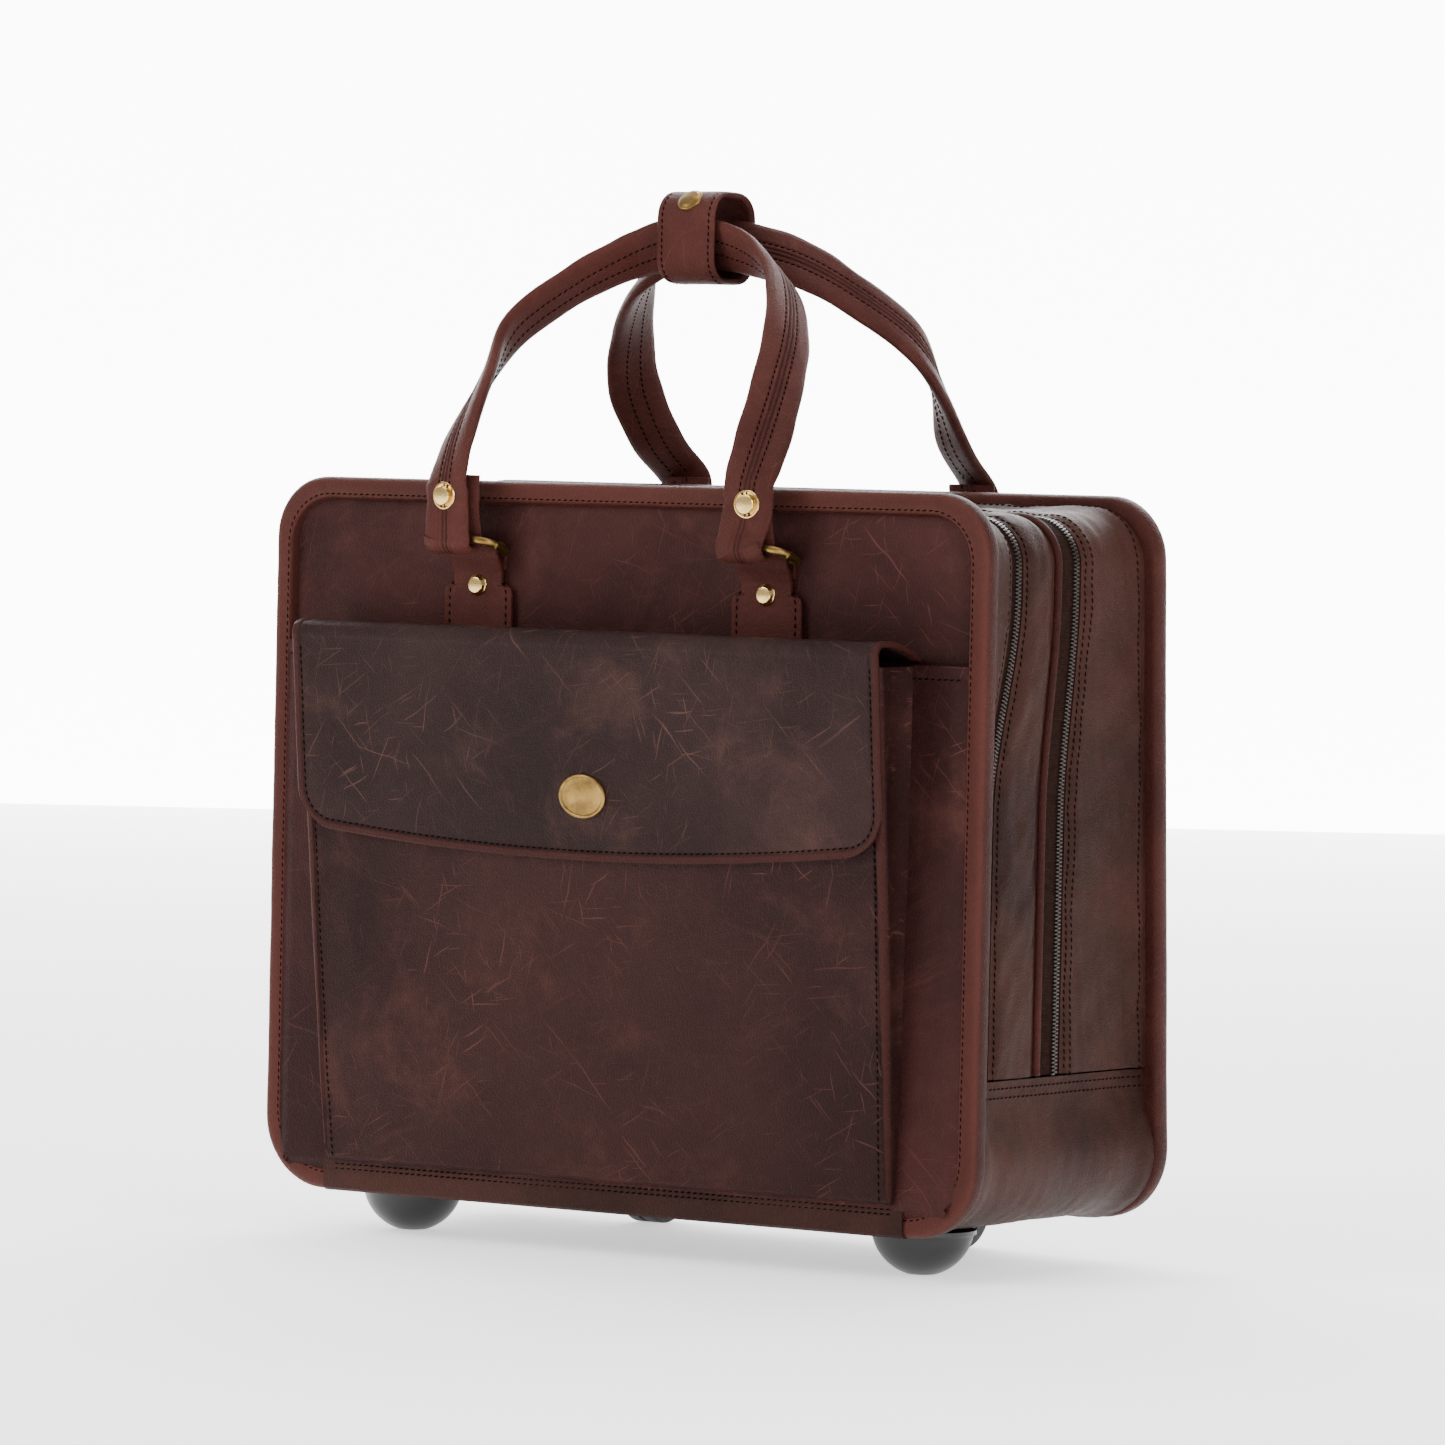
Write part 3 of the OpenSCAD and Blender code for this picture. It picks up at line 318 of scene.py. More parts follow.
# %% Hide group
def hide_group():
    tree, given, out = group("waxed_hide", [
        ("Dark", "Color", (0.03, 0.014, 0.012, 1)), ("Mid", "Color", (0.06, 0.028, 0.024, 1)),
        ("Rubbed", "Color", (0.14, 0.065, 0.05, 1)), ("Clouds", "Float", 0.5),
        ("Scuffs", "Float", 0.5), ("Scratches", "Float", 0.5), ("Offset", "Vector", (0, 0, 0)),
        ("Grain", "Float", 1.0)],
        [("Color", "Color"), ("Roughness", "Float"), ("Height", "Float")])
    where = node(tree, "TexCoord").outputs["Object"]
    where = node(tree, "VectorMath", {"operation": "ADD"}, i0=where,
                 i1=given.outputs["Offset"]).outputs[0]
    bend = node(tree, "TexNoise", None, Vector=where, Scale=22.0, Detail=3.0).outputs[1]
    bend = node(tree, "VectorMath", {"operation": "SCALE"}, i0=bend, Scale=0.009).outputs[0]
    warped = node(tree, "VectorMath", {"operation": "ADD"}, i0=where, i1=bend).outputs[0]

    broad = ramp(tree, noise(tree, where, 6.0, 6.0, 0.6, 0.4), 0.34, 0.68)
    patchy = ramp(tree, noise(tree, warped, 15.0, 9.0, 0.72, 0.3), 0.50, 0.78)
    fine = noise(tree, warped, 170.0, 8.0, 0.72)
    smear = ramp(tree, noise(tree, turned(tree, warped, 24, (9.0, 30.0, 70.0)), 1.0, 10.0, 0.78, 0.3),
                 0.54, 0.80)
    smear2 = ramp(tree, noise(tree, turned(tree, warped, -58, (12.0, 40.0, 65.0)), 1.0, 9.0, 0.76, 0.3),
                  0.56, 0.82)
    veil = math_node(tree, "MULTIPLY", ramp(tree, noise(tree, where, 5.0, 4.0), 0.42, 0.66),
                     math_node(tree, "MAXIMUM", smear, smear2))

    scratch = None
    for angle, stretch, cut in ((31, (26.0, 60.0, 760.0), 0.70), (-47, (22.0, 60.0, 700.0), 0.70),
                                (74, (24.0, 60.0, 780.0), 0.705), (5, (34.0, 60.0, 900.0), 0.71),
                                (-18, (12.0, 60.0, 640.0), 0.72), (58, (14.0, 60.0, 640.0), 0.72),
                                (-80, (40.0, 60.0, 900.0), 0.71)):
        line = ramp(tree, noise(tree, turned(tree, warped, angle, stretch), 1.0, 1.0, 0.5, 0.0),
                    cut, cut + 0.05)
        scratch = line if scratch is None else math_node(tree, "MAXIMUM", scratch, line)
    busy = math_node(tree, "MULTIPLY", ramp(tree, noise(tree, where, 13.0, 5.0), 0.36, 0.68), 0.62)
    scratch = math_node(tree, "MULTIPLY", scratch, busy)

    clouds = math_node(tree, "MULTIPLY", broad, given.outputs["Clouds"])
    colour = mix_colour(tree, clouds, given.outputs["Dark"], given.outputs["Mid"])
    mottled = math_node(tree, "MULTIPLY", math_node(tree, "SUBTRACT", fine, 0.5), 0.55)
    rub = math_node(tree, "MULTIPLY", math_node(tree, "MAXIMUM", patchy, veil), given.outputs["Scuffs"])
    rub = math_node(tree, "MULTIPLY", rub, math_node(tree, "ADD", mottled, 0.75), True)
    marks = math_node(tree, "MULTIPLY", scratch, given.outputs["Scratches"])
    worn = math_node(tree, "MAXIMUM", rub, marks, True)
    colour = mix_colour(tree, worn, colour, given.outputs["Rubbed"])
    speck = mix_colour(tree, 0.22, colour, node(tree, "Mix", {"data_type": "RGBA"}, i0=fine,
                       i6=(0.25, 0.22, 0.21, 1), i7=(0.75, 0.78, 0.8, 1)).outputs[2], "OVERLAY")
    tree.links.new(speck, out.inputs["Color"])

    rough = math_node(tree, "ADD", math_node(tree, "MULTIPLY", worn, 0.16), 0.52)
    rough = math_node(tree, "ADD", rough, math_node(tree, "MULTIPLY", mottled, 0.35))
    tree.links.new(rough, out.inputs["Roughness"])

    pores = node(tree, "TexVoronoi", {"feature": "DISTANCE_TO_EDGE"}, Vector=warped,
                 Scale=620.0).outputs[0]
    pores = ramp(tree, pores, 0.0, 0.16)
    cells = node(tree, "TexVoronoi", {"feature": "DISTANCE_TO_EDGE"}, Vector=warped,
                 Scale=72.0).outputs[0]
    crease = ramp(tree, cells, 0.0, 0.035)
    height = math_node(tree, "MULTIPLY", pores, given.outputs["Grain"])
    height = math_node(tree, "ADD", height, math_node(tree, "MULTIPLY", fine, 1.6))
    height = math_node(tree, "ADD", height, math_node(tree, "MULTIPLY", crease, 0.35))
    height = math_node(tree, "SUBTRACT", height, math_node(tree, "MULTIPLY", marks, 0.7))
    tree.links.new(height, out.inputs["Height"])
    return tree


HIDE = hide_group()


def leather(name, dark, mid, rubbed, clouds=0.8, scuffs=0.6, scratches=0.8, offset=(0, 0, 0),
            relief=0.00035, rim=None):
    """A leather material: the hide group with its own colours, and a rim colour where a piece has a rim attribute:
    worn rims, or on the straps a darker band in the seam grooves.
    """
    material = bpy.data.materials.new(name)
    material.use_nodes = True
    tree = material.node_tree
    shader = tree.nodes["Principled BSDF"]
    hide = node(tree, "Group", {"node_tree": HIDE}, Dark=(*dark, 1), Mid=(*mid, 1),
                Rubbed=(*rubbed, 1),
                Clouds=clouds, Scuffs=scuffs, Scratches=scratches, Offset=offset)
    colour = hide.outputs["Color"]
    if rim:
        worn = node(tree, "Attribute", {"attribute_name": "rim"}).outputs["Fac"]
        colour = mix_colour(tree, math_node(tree, "MULTIPLY", worn, 0.85), colour, (*rim, 1))
    tree.links.new(colour, shader.inputs["Base Color"])
    tree.links.new(hide.outputs["Roughness"], shader.inputs["Roughness"])
    bump = node(tree, "Bump", None, Height=hide.outputs["Height"], Strength=0.55, Distance=relief)
    tree.links.new(bump.outputs[0], shader.inputs["Normal"])
    shader.inputs["Specular IOR Level"].default_value = 0.09
    return material


PANEL = leather("panel_leather", (0.0165, 0.0046, 0.0040), (0.041, 0.0118, 0.0102),
                (0.13, 0.044, 0.034),
                0.9, 0.42, 0.8)
# The flap's colours are the panel leather painted darker: painted shade that offsets the extra light on its
# forward-leaning face.
FLAP_SHADED = leather("flap_leather", (0.0122, 0.0052, 0.0047), (0.024, 0.0108, 0.0099), (0.105, 0.047, 0.036),
               0.9, 0.45, 0.9, (0.31, 0.2, 0.4), rim=(0.032, 0.0078, 0.006))
GUSSET = leather("gusset_leather", (0.0145, 0.0048, 0.0033), (0.04, 0.0142, 0.01),
                 (0.085, 0.028, 0.019),
                 0.9, 0.45, 0.3, (1.3, 0.7, 0.2))
BINDING = leather("binding_leather", (0.023, 0.0048, 0.0034), (0.046, 0.0115, 0.0084),
                  (0.105, 0.032, 0.024),
                  0.85, 0.45, 0.3, (2.1, 0.1, 0.9), rim=(0.09, 0.028, 0.021))
HANDLE = leather("handle_leather", (0.036, 0.0082, 0.006), (0.07, 0.0195, 0.015), (0.135, 0.046, 0.035),
                 0.85, 0.45, 0.4, (0.6, 1.9, 0.3), rim=(0.016, 0.0038, 0.0028))

# %% [markdown]
# ## Thread, tape, brass and plastic
# The thread is a dark waxed brown. The zips have a fine ribbed tape, the fittings are antique brass,
# darker where hands never polish it, and the feet and the trolley are satin black plastic.

# %% Other materials
def plain(name, colour, roughness, metallic=0.0, vary=0.3, scale=60.0, relief=0.0001, tint=None,
          specular=0.5, bump_scale=900.0):
    """A material whose colour and gloss drift slowly, with a fine surface."""
    material = bpy.data.materials.new(name)
    material.use_nodes = True
    tree = material.node_tree
    shader = tree.nodes["Principled BSDF"]
    where = node(tree, "TexCoord").outputs["Object"]
    drift = noise(tree, where, scale, 6.0, 0.65)
    other = tint or tuple(c * (1 - vary) for c in colour)
    mixed = mix_colour(tree, ramp(tree, drift, 0.35, 0.68), (*colour, 1), (*other, 1))
    tree.links.new(mixed, shader.inputs["Base Color"])
    gloss = math_node(tree, "ADD", math_node(tree, "MULTIPLY", drift, 0.2), roughness - 0.1)
    tree.links.new(gloss, shader.inputs["Roughness"])
    shader.inputs["Metallic"].default_value = metallic
    shader.inputs["Specular IOR Level"].default_value = specular
    bump = node(tree, "Bump", None, Height=noise(tree, where, bump_scale, 3.0), Strength=0.4,
                Distance=relief)
    tree.links.new(bump.outputs[0], shader.inputs["Normal"])
    return material


THREAD = plain("thread", (0.0022, 0.0008, 0.0006), 0.85, vary=0.4, scale=300.0, specular=0.03)
ANTIQUE = plain("antique_brass", (0.3, 0.185, 0.055), 0.36, 1.0, scale=90.0, tint=(0.13, 0.075, 0.025))
BRIGHT = plain("bright_brass", (0.72, 0.5, 0.2), 0.2, 1.0, scale=120.0, tint=(0.56, 0.38, 0.13))
BLACK = plain("black_plastic", (0.0045, 0.0042, 0.004), 0.36, scale=40.0, relief=0.00005)
GREY = plain("grey_plastic", (0.045, 0.045, 0.048), 0.45, scale=40.0)
RUBBER = plain("wheel_rubber", (0.02, 0.02, 0.02), 0.7, scale=120.0)
STEEL = plain("plated_steel", (0.55, 0.55, 0.54), 0.3, 1.0, scale=80.0)
ALUMINIUM = plain("tube_aluminium", (0.6, 0.61, 0.62), 0.34, 1.0, scale=50.0)
TEETH = plain("zip_teeth", (0.022, 0.0125, 0.008), 0.38, 0.0, scale=700.0, tint=(0.014, 0.009, 0.007))
LINING = plain("padded_lining", (0.085, 0.06, 0.042), 0.85, scale=200.0, bump_scale=1500.0, relief=0.0004)
BOARD = plain("base_board", (0.1, 0.08, 0.06), 0.8, scale=70.0)


def tape_material():
    """Zip tape: a fine herringbone rib that runs across the tape."""
    material = plain("zip_tape", (0.016, 0.0062, 0.0042), 0.9, vary=0.35, scale=260.0, specular=0.05)
    tree = material.node_tree
    shader = tree.nodes["Principled BSDF"]
    where = node(tree, "TexCoord").outputs["Object"]
    rib = node(tree, "TexWave", {"bands_direction": "Z"}, Vector=where, Scale=380.0, Distortion=1.5,
               Detail=2.0).outputs[1]
    bump = node(tree, "Bump", None, Height=rib, Strength=0.5, Distance=0.0004)
    tree.links.new(bump.outputs[0], shader.inputs["Normal"])
    return material


TAPE = tape_material()
for cad_node, material in {
        "base_board": BOARD, "divider": LINING, "laptop_sleeve": LINING, "pocket_magnet": STEEL,
        "flap_magnet": STEEL, "foot_screws": STEEL, "housing_screws": STEEL, "wheel_axles": STEEL,
        "wheel_housings": BLACK, "trolley_base": BLACK, "trolley_collar": BLACK, "trolley_grip": BLACK,
        "grip_button": GREY, "button_spring": STEEL, "trolley_outer_tubes": ALUMINIUM,
        "trolley_middle_tubes": ALUMINIUM, "trolley_inner_tubes": ALUMINIUM, "tyre_left": RUBBER,
        "tyre_right": RUBBER, "hub_left": GREY, "hub_right": GREY, "bearings_left": STEEL,
        "bearings_right": STEEL, "front_zip_slider": ANTIQUE, "main_zip_slider": ANTIQUE,
        "front_zip_pull": HANDLE, "main_zip_pull": HANDLE}.items():
    nodes[cad_node].data.materials.clear()
    nodes[cad_node].data.materials.append(material)
print("materials made:", len(bpy.data.materials))

# %% [markdown]
# ## Stitches
# A row of stitches is many copies of one small capsule, each sunk a little into the leather and
# turned along the seam. One primitive is modelled and its copies are joined into one light mesh.

# %% Stitch helper
clear_selection()
bpy.ops.mesh.primitive_uv_sphere_add(segments=6, ring_count=4, radius=0.5)
capsule = bpy.context.object
STITCH_POINTS = np.array([v.co for v in capsule.data.vertices])
STITCH_FACES = [list(p.vertices) for p in capsule.data.polygons]
bpy.data.objects.remove(capsule)


def surface_of(*pieces):
    """A search tree over the faces of finished pieces, for laying stitches on them."""
    points, faces = [], []
    for piece in pieces:
        start = len(points)
        points += [v.co.copy() for v in piece.data.vertices]
        faces += [[start + v for v in p.vertices] for p in piece.data.polygons]
    return BVHTree.FromPolygons(points, faces)


def joined(name, points, faces):
    """One mesh object from copies of a shape; points is [copy, point, 3] in metres."""
    k = points.shape[1]
    every = [[i * k + v for v in face] for i in range(len(points)) for face in faces]
    mesh = bpy.data.meshes.new(name)
    mesh.from_pydata(points.reshape(-1, 3).tolist(), [], every)
    piece = bpy.data.objects.new(name, mesh)
    bpy.context.scene.collection.objects.link(piece)
    return piece


STITCH_TILT = 0.16


def stitches(name, path, normals, body, closed=False, pitch=3.6, length=2.7, width=0.85,
             material=None, slot="binding_leather", sink=-0.05, on=None):
    """A row of stitches along a path with its normals; on is a surface that they are laid onto."""
    material = material or THREAD
    path = np.array(path, float) * MM
    path[:, 1] += FRONT_Y
    normals = np.array(normals, float) + np.zeros_like(path)
    line = np.concatenate([path, path[:1]]) if closed else path
    total = np.linalg.norm(np.diff(line, axis=0), axis=1).sum()
    count = max(2, int(total / (pitch * MM)))
    both = walk(np.concatenate([path, normals], 1), count, closed)
    spots, up = both[:, :3], both[:, 3:]
    up = up / np.linalg.norm(up, axis=1, keepdims=True)
    if on:
        for k in range(len(spots)):
            hit, slope, _, _ = on.ray_cast(Vector(spots[k] + up[k] * 9 * MM),
                                        Vector(-up[k]), 18 * MM)
            if hit is not None:
                spots[k] = hit
                up[k] = slope if slope.dot(Vector(up[k])) > 0 else -slope
    along = directions(spots, closed)
    across = np.cross(up, along)
    across /= np.linalg.norm(across, axis=1, keepdims=True)
    size = np.array([length, width, width * 0.9]) * MM
    shape = STITCH_POINTS * size
    turned_shape = shape.copy()
    turned_shape[:, 1] += shape[:, 0] * STITCH_TILT
    points = (spots[:, None] - up[:, None] * sink * MM + turned_shape[None, :, :1] * along[:, None]
              + turned_shape[None, :, 1:2] * across[:, None] + turned_shape[None, :, 2:] * up[:, None])
    piece = joined(name, points, STITCH_FACES)
    piece.data.shade_smooth()
    return place(piece, body, slot, material)


# %% [markdown]
# ## Bindings
# A strip of red-brown leather is folded over the edge of each panel and sewn through. Its section is
# a narrow U with a soft outer corner, swept round the outline. The back one leans with its panel and
# leaves room for the two wheel housings.

# %% Sweep the bindings
SECTION = [(10.2, 2.6), (10.1, 1.1), (9.4, 0.45), (8.6, 0.7), (7.8, 0.35), (6.4, 0.05), (4.4, 0.0),
           (2.8, 0.25), (1.6, 0.8), (0.75, 1.7), (0.2, 3.0), (0.0, 4.8), (0.0, 7.4), (0.25, 9.3),
           (0.8, 10.7), (1.7, 11.6), (3.0, 12.0), (5.5, 12.05), (9.0, 12.0), (12.4, 12.0),
           (12.6, 8.0), (11.4, 4.4)]


def swept_section(seed):
    """The binding's section round the whole outline, a little uneven as sewn leather is."""
    rows = []
    for inset, depth in SECTION:
        ring = outline(inset)
        point = np.stack([ring[:, 0], np.full(len(ring), depth), ring[:, 1]], 1)
        spot = np.stack([outline(0)[:, 0], np.zeros(len(ring)), outline(0)[:, 1]], 1)
        pull = wander(spot, 70, seed, 0.28) + wander(spot, 18, seed + 1, 0.1)
        point[:, 1] += pull * (0.4 if depth < 1 else 1.0)
        rows.append(point)
    return np.stack(rows, 1)


def lean_back(points):
    """Carries points made on the front face over to the leaning back face, mirrored in depth."""
    out = np.array(points, float)
    c, n = math.cos(BACK_LEAN), math.sin(BACK_LEAN)
    depth, height = -out[..., 1], out[..., 2] - LOW_Z
    out[..., 1] = BACK_D + depth * c - height * n
    out[..., 2] = LOW_Z + height * c + depth * n
    return out


def paint(piece, rule):
    """Writes a rim value on each point from a rule of its place in millimetres."""
    co = np.empty(len(piece.data.vertices) * 3)
    piece.data.vertices.foreach_get("co", co)
    co = co.reshape(-1, 3) / MM
    co[:, 1] -= FRONT_Y / MM
    values = np.clip(rule(co), 0, 1)
    rim_values = piece.data.attributes.new("rim", "FLOAT", "POINT").data
    rim_values.foreach_set("value", values.astype(np.float32))


HOUSING_LOW, HOUSING_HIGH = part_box("wheel_housings")
AXLE = middle("wheel_axles")
WHEEL_X = middle("tyre_right")[0]
HOUSING_W = HOUSING_HIGH.x / MM - WHEEL_X
HOUSING_D = (HOUSING_LOW.y - FRONT_Y) / MM
HOUSING_TOP = HOUSING_HIGH.z / MM


def by_housing(x, z, grow=0.0):
    """True where a point lies over a wheel housing's width and below its top."""
    return (np.abs(np.abs(x) - WHEEL_X) < HOUSING_W + grow) & (z < HOUSING_TOP + grow)


front_rows = swept_section(11)
front_binding = skin("binding_front", front_rows, ring=True, tube=True)
paint(front_binding, lambda p: 0.75 - np.abs(p[:, 1] - 1.2) / 3.4)
place(front_binding, "case", "binding_leather", BINDING, "front_binding")

back_rows = lean_back(swept_section(23))
flat = outline(0)
busy = by_housing(flat[:, 0], flat[:, 1], 0.4)
runs, start = [], None
order = np.roll(np.arange(len(flat)), -int(np.argmax(busy)))
for i in order:
    if busy[i]:
        start = None
    elif start is None:
        start = [i]
        runs.append(start)
    else:
        start.append(i)
parts = [skin(f"binding_back_{k}", back_rows[run], tube=True, caps=True)
         for k, run in enumerate(runs) if len(run) > 3]
clear_selection()
for part in parts:
    part.select_set(True)
bpy.context.view_layer.objects.active = parts[0]
bpy.ops.object.join()
back_binding = parts[0]
back_binding.name = "binding_back"
paint(back_binding,
      lambda p: 0.75 - np.abs(p[:, 1] - np.array([back_depth(z) for z in p[:, 2]]) + 1.2) / 3.4)
place(back_binding, "case", "binding_leather", BINDING, "back_binding")

seam = outline(8.6)
front_seam = np.stack([seam[:, 0], np.full(len(seam), 0.62), seam[:, 1]], 1)
stitches("binding_front_stitches", front_seam, (0, -1, 0), "case", closed=True,
         on=surface_of(front_binding))
far = ~by_housing(seam[:, 0], seam[:, 1], 1.0)
turn = np.roll(np.arange(len(seam)), -int(np.argmin(far)))
back_seam = lean_back(front_seam)[turn]
keep = far[turn]
splits = np.split(np.arange(len(keep)), np.where(np.diff(keep.astype(int)) != 0)[0] + 1)
for k, part in enumerate(s for s in splits if keep[s[0]] and len(s) > 3):
    stitches(f"binding_back_stitches_{k}", back_seam[part], (0, 1, 0), "case")

# %% [markdown]
# ## Panels
# Each panel is a sheet that dives under its binding. The front panel only shows above the slip
# pocket, which covers the rest of the face and hugs it closely.

# %% Panel sheets
def tuck(x, z, inset=7):
    """Pulls the corners of a sheet in under the rounded binding."""
    x, z = np.array(x, float), np.array(z, float)
    for radius, mid_z, way in ((TOP_R, TOP_Z - TOP_R, 1), (LOW_R, LOW_Z + LOW_R, -1)):
        mid_x = HALF_W - radius
        dx, dz = np.abs(x) - mid_x, (z - mid_z) * way
        far = np.hypot(dx, dz)
        over = (dx > 0) & (dz > 0) & (far > radius - inset)
        scale = np.where(over, (radius - inset) / np.maximum(far, 1e-6), 1)
        x = np.where(over, np.sign(x) * (mid_x + dx * scale), x)
        z = np.where(over, mid_z + dz * scale * way, z)
    return x, z


def face_sheet(name, low, high, side, depth_at, columns=150, rows=150, seed=1):
    """A sheet over part of a face; depth_at gives its outer depth from x, z and distance to the edge."""
    x = np.linspace(-side, side, columns)
    z = np.linspace(low, high, rows)
    grid_x, grid_z = tuck(*np.meshgrid(x, z))
    rim = np.minimum(side - np.abs(grid_x), np.minimum(grid_z - LOW_Z, TOP_Z - grid_z) - 9)
    place_3d = np.stack([grid_x, np.zeros_like(grid_x), grid_z], -1)
    return skin(name, np.stack([grid_x, depth_at(grid_x, grid_z, rim, place_3d), grid_z], -1))


def smooth_step(value, low, high):
    t = np.clip((np.asarray(value, float) - low) / (high - low), 0, 1)
    return t * t * (3 - 2 * t)


def panel_depth(x, z, rim, spot):
    return (5.6 - 1.3 * smooth_step(rim, 0, 9) - wander(spot, 90, 3, 0.5) - wander(spot, 26, 5, 0.16))


panel = face_sheet("panel_front", LOW_Z + 9, TOP_Z - 9, HALF_W - 9, panel_depth)
thicken(outward(panel, (0, -1, 0)), 2.6)
place(panel, "case", "panel_leather", PANEL, "front_panel")

SLIP_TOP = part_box("slip_pocket")[1].z / MM


def slip_depth(x, z, rim, spot):
    hem = smooth_step(z, SLIP_TOP - 6.4, SLIP_TOP - 5.4) * (1 - smooth_step(z, SLIP_TOP - 2.2, SLIP_TOP))
    groove = np.exp(-((z - SLIP_TOP + 6.6) / 0.9) ** 2)
    out = 1.0 - 3.1 * smooth_step(rim, 0.5, 7) - 0.35 * hem + 0.35 * groove
    return out - (wander(spot, 80, 8, 0.35) + wander(spot, 22, 9, 0.12)) * smooth_step(rim, 0, 8)


slip = face_sheet("pocket_slip", LOW_Z + 9, SLIP_TOP, HALF_W - 9, slip_depth, 150, 220)
thicken(outward(slip, (0, -1, 0)), 2.0)
place(slip, "case", "panel_leather", PANEL, "slip_pocket")
hem_x = np.linspace(-HALF_W + 14, HALF_W - 14, 60)
stitches("slip_stitches", np.stack([hem_x, np.full(60, -1.85), np.full(60, SLIP_TOP - 6.6)], 1),
         (0, -1, 0), "case", slot="panel_leather")


def back_sheet_depth(x, z, rim, spot):
    return (5.0 - 1.6 * smooth_step(rim, 0, 9) - wander(spot, 90, 13, 0.5) - wander(spot, 26, 15, 0.16))


def drop_faces(piece, inside):
    """Deletes the faces of a piece whose middles pass a test of [x, depth, z] in millimetres."""
    pick(piece)
    bpy.ops.object.mode_set(mode="EDIT")
    bpy.ops.mesh.select_mode(type="FACE")
    bpy.ops.mesh.select_all(action="DESELECT")
    bpy.ops.object.mode_set(mode="OBJECT")
    for face in piece.data.polygons:
        c = face.center / MM
        face.select = bool(inside(c.x, c.y - FRONT_Y / MM, c.z))
    bpy.ops.object.mode_set(mode="EDIT")
    bpy.ops.mesh.delete(type="FACE")
    bpy.ops.mesh.select_mode(type="VERT")
    bpy.ops.object.mode_set(mode="OBJECT")


back_x, back_z = tuck(*np.meshgrid(np.linspace(-HALF_W + 9, HALF_W - 9, 130),
                                   np.linspace(LOW_Z + 9, TOP_Z - 9, 130)))
rim = np.minimum(HALF_W - 9 - np.abs(back_x), np.minimum(back_z - LOW_Z, TOP_Z - back_z) - 9)
spot = np.stack([back_x, np.zeros_like(back_x), back_z], -1)
back_face = np.stack([back_x, back_sheet_depth(back_x, back_z, rim, spot), back_z], -1)
back_panel = skin("panel_back", lean_back(back_face))
drop_faces(back_panel, lambda x, d, z: by_housing(x, z, -2))
thicken(outward(back_panel, (0, 1, 0)), 2.6)
place(back_panel, "case", "panel_leather", PANEL, "back_panel")

# %% [markdown]
# ## Gussets, zips and piping
# Seams run round the sides and over the top at depths that bend forward low down. Each strip between
# two seams is puffed, pinched at its edges, and wrinkled.

# %% Gusset strips
FRONT_ZIP = (45.51, 24.03)
MAIN_ZIP = (97.99, 87.99)
PIPING = (81.02, 71.01)
BEND_TOP, BEND_LOW = TOP_Z - 61, TOP_Z - 144
ZIP_HALF = 5.0


def seam_depth(ends, z):
    """Depth of a seam at a height, from its depth at the top and low down."""
    return ends[1] + (ends[0] - ends[1]) * smooth_step(z, BEND_LOW - 12, BEND_TOP + 12)


def side_path(inset, count, hem):
    """The outline from one hem over the top to the other, or between the hems under the case."""
    ring = outline(inset, 1400)
    above = ring[:, 1] >= HEM_Z if hem == "above" else ring[:, 1] <= HEM_Z
    shift = int(np.argmax(above & ~np.roll(above, 1)))
    ring, above = np.roll(ring, -shift, 0), np.roll(above, -shift)
    return walk(ring[above], count, False)


def along_sides(depth_of, raise_by, count=430, hem="above"):
    """Points round the gusset at a depth and a height above it, with the outward direction."""
    path = side_path(FLANGE, count, hem)
    way = directions(path, False)
    out = np.stack([way[:, 1], np.zeros(count), -way[:, 0]], 1)
    if callable(depth_of):
        depth = np.array([depth_of(z) for z in path[:, 1]])
    else:
        depth = np.full(count, depth_of)
    base = np.stack([path[:, 0], depth, path[:, 1]], 1)
    return base + out * np.asarray(raise_by).reshape(-1, 1), out


def strip(name, first, last, puff, seed=1, hem="above", count=430, columns=34, wrinkle=0.35,
          shoulders=(0, 0), soft=5.0, skirt=0.0):
    """A puffed strip of gusset between two seams; shoulders rise towards the bindings at either side,
    and skirt carries the strip out until it is nearly flush with them low down."""
    across = np.linspace(0, 1, columns)
    base, out = along_sides(0, 0, count, hem)
    z = base[:, 2]
    d0 = np.array([first(v) for v in z])
    d1 = np.array([last(v) for v in z])
    rows = []
    for f in across:
        depth = d0 + (d1 - d0) * f
        spot = np.stack([base[:, 0], depth, base[:, 2]], 1)
        edge = np.minimum(f, 1 - f) * (d1 - d0)
        crown = (1 - np.exp(-(edge / soft) ** 1.6)) * puff * (1 + 0.35 * wander(spot, 90, seed))
        crown += (shoulders[0] * np.exp(-((depth - d0) / 9) ** 2)
                  + shoulders[1] * np.exp(-((depth - d1) / 9) ** 2))
        crown += skirt * smooth_step(HEM_Z - z, 4, 56)
        creases = (wander(spot * [0.6, 1.6, 0.6], 15, seed + 1, wrinkle)
                   + wander(spot, 34, seed + 2, wrinkle * 1.2))
        pinch = wander(spot * [1, 0.25, 1], 9, seed + 3, 0.3) * np.exp(-((edge - 3) / 4) ** 2)
        groove = -0.35 * np.exp(-((edge - 2.7) / 0.8) ** 2)
        lift = crown + (creases + pinch) * np.clip(edge / 3, 0, 1) + groove
        point = base + out * lift[:, None]
        point[:, 1] = depth
        rows.append(point)
    return skin(name, np.stack(rows, 1))


def finish_strip(piece, slot, material, thick, *nodes_of):
    centre = Vector((0, 0, (TOP_Z + LOW_Z) / 2 * MM))
    total = sum((p.normal.dot(p.center - centre) * p.area for p in piece.data.polygons))
    if total < 0:
        turn_over(piece)
    thicken(piece, thick)
    return place(piece, "case", slot, material, *nodes_of)


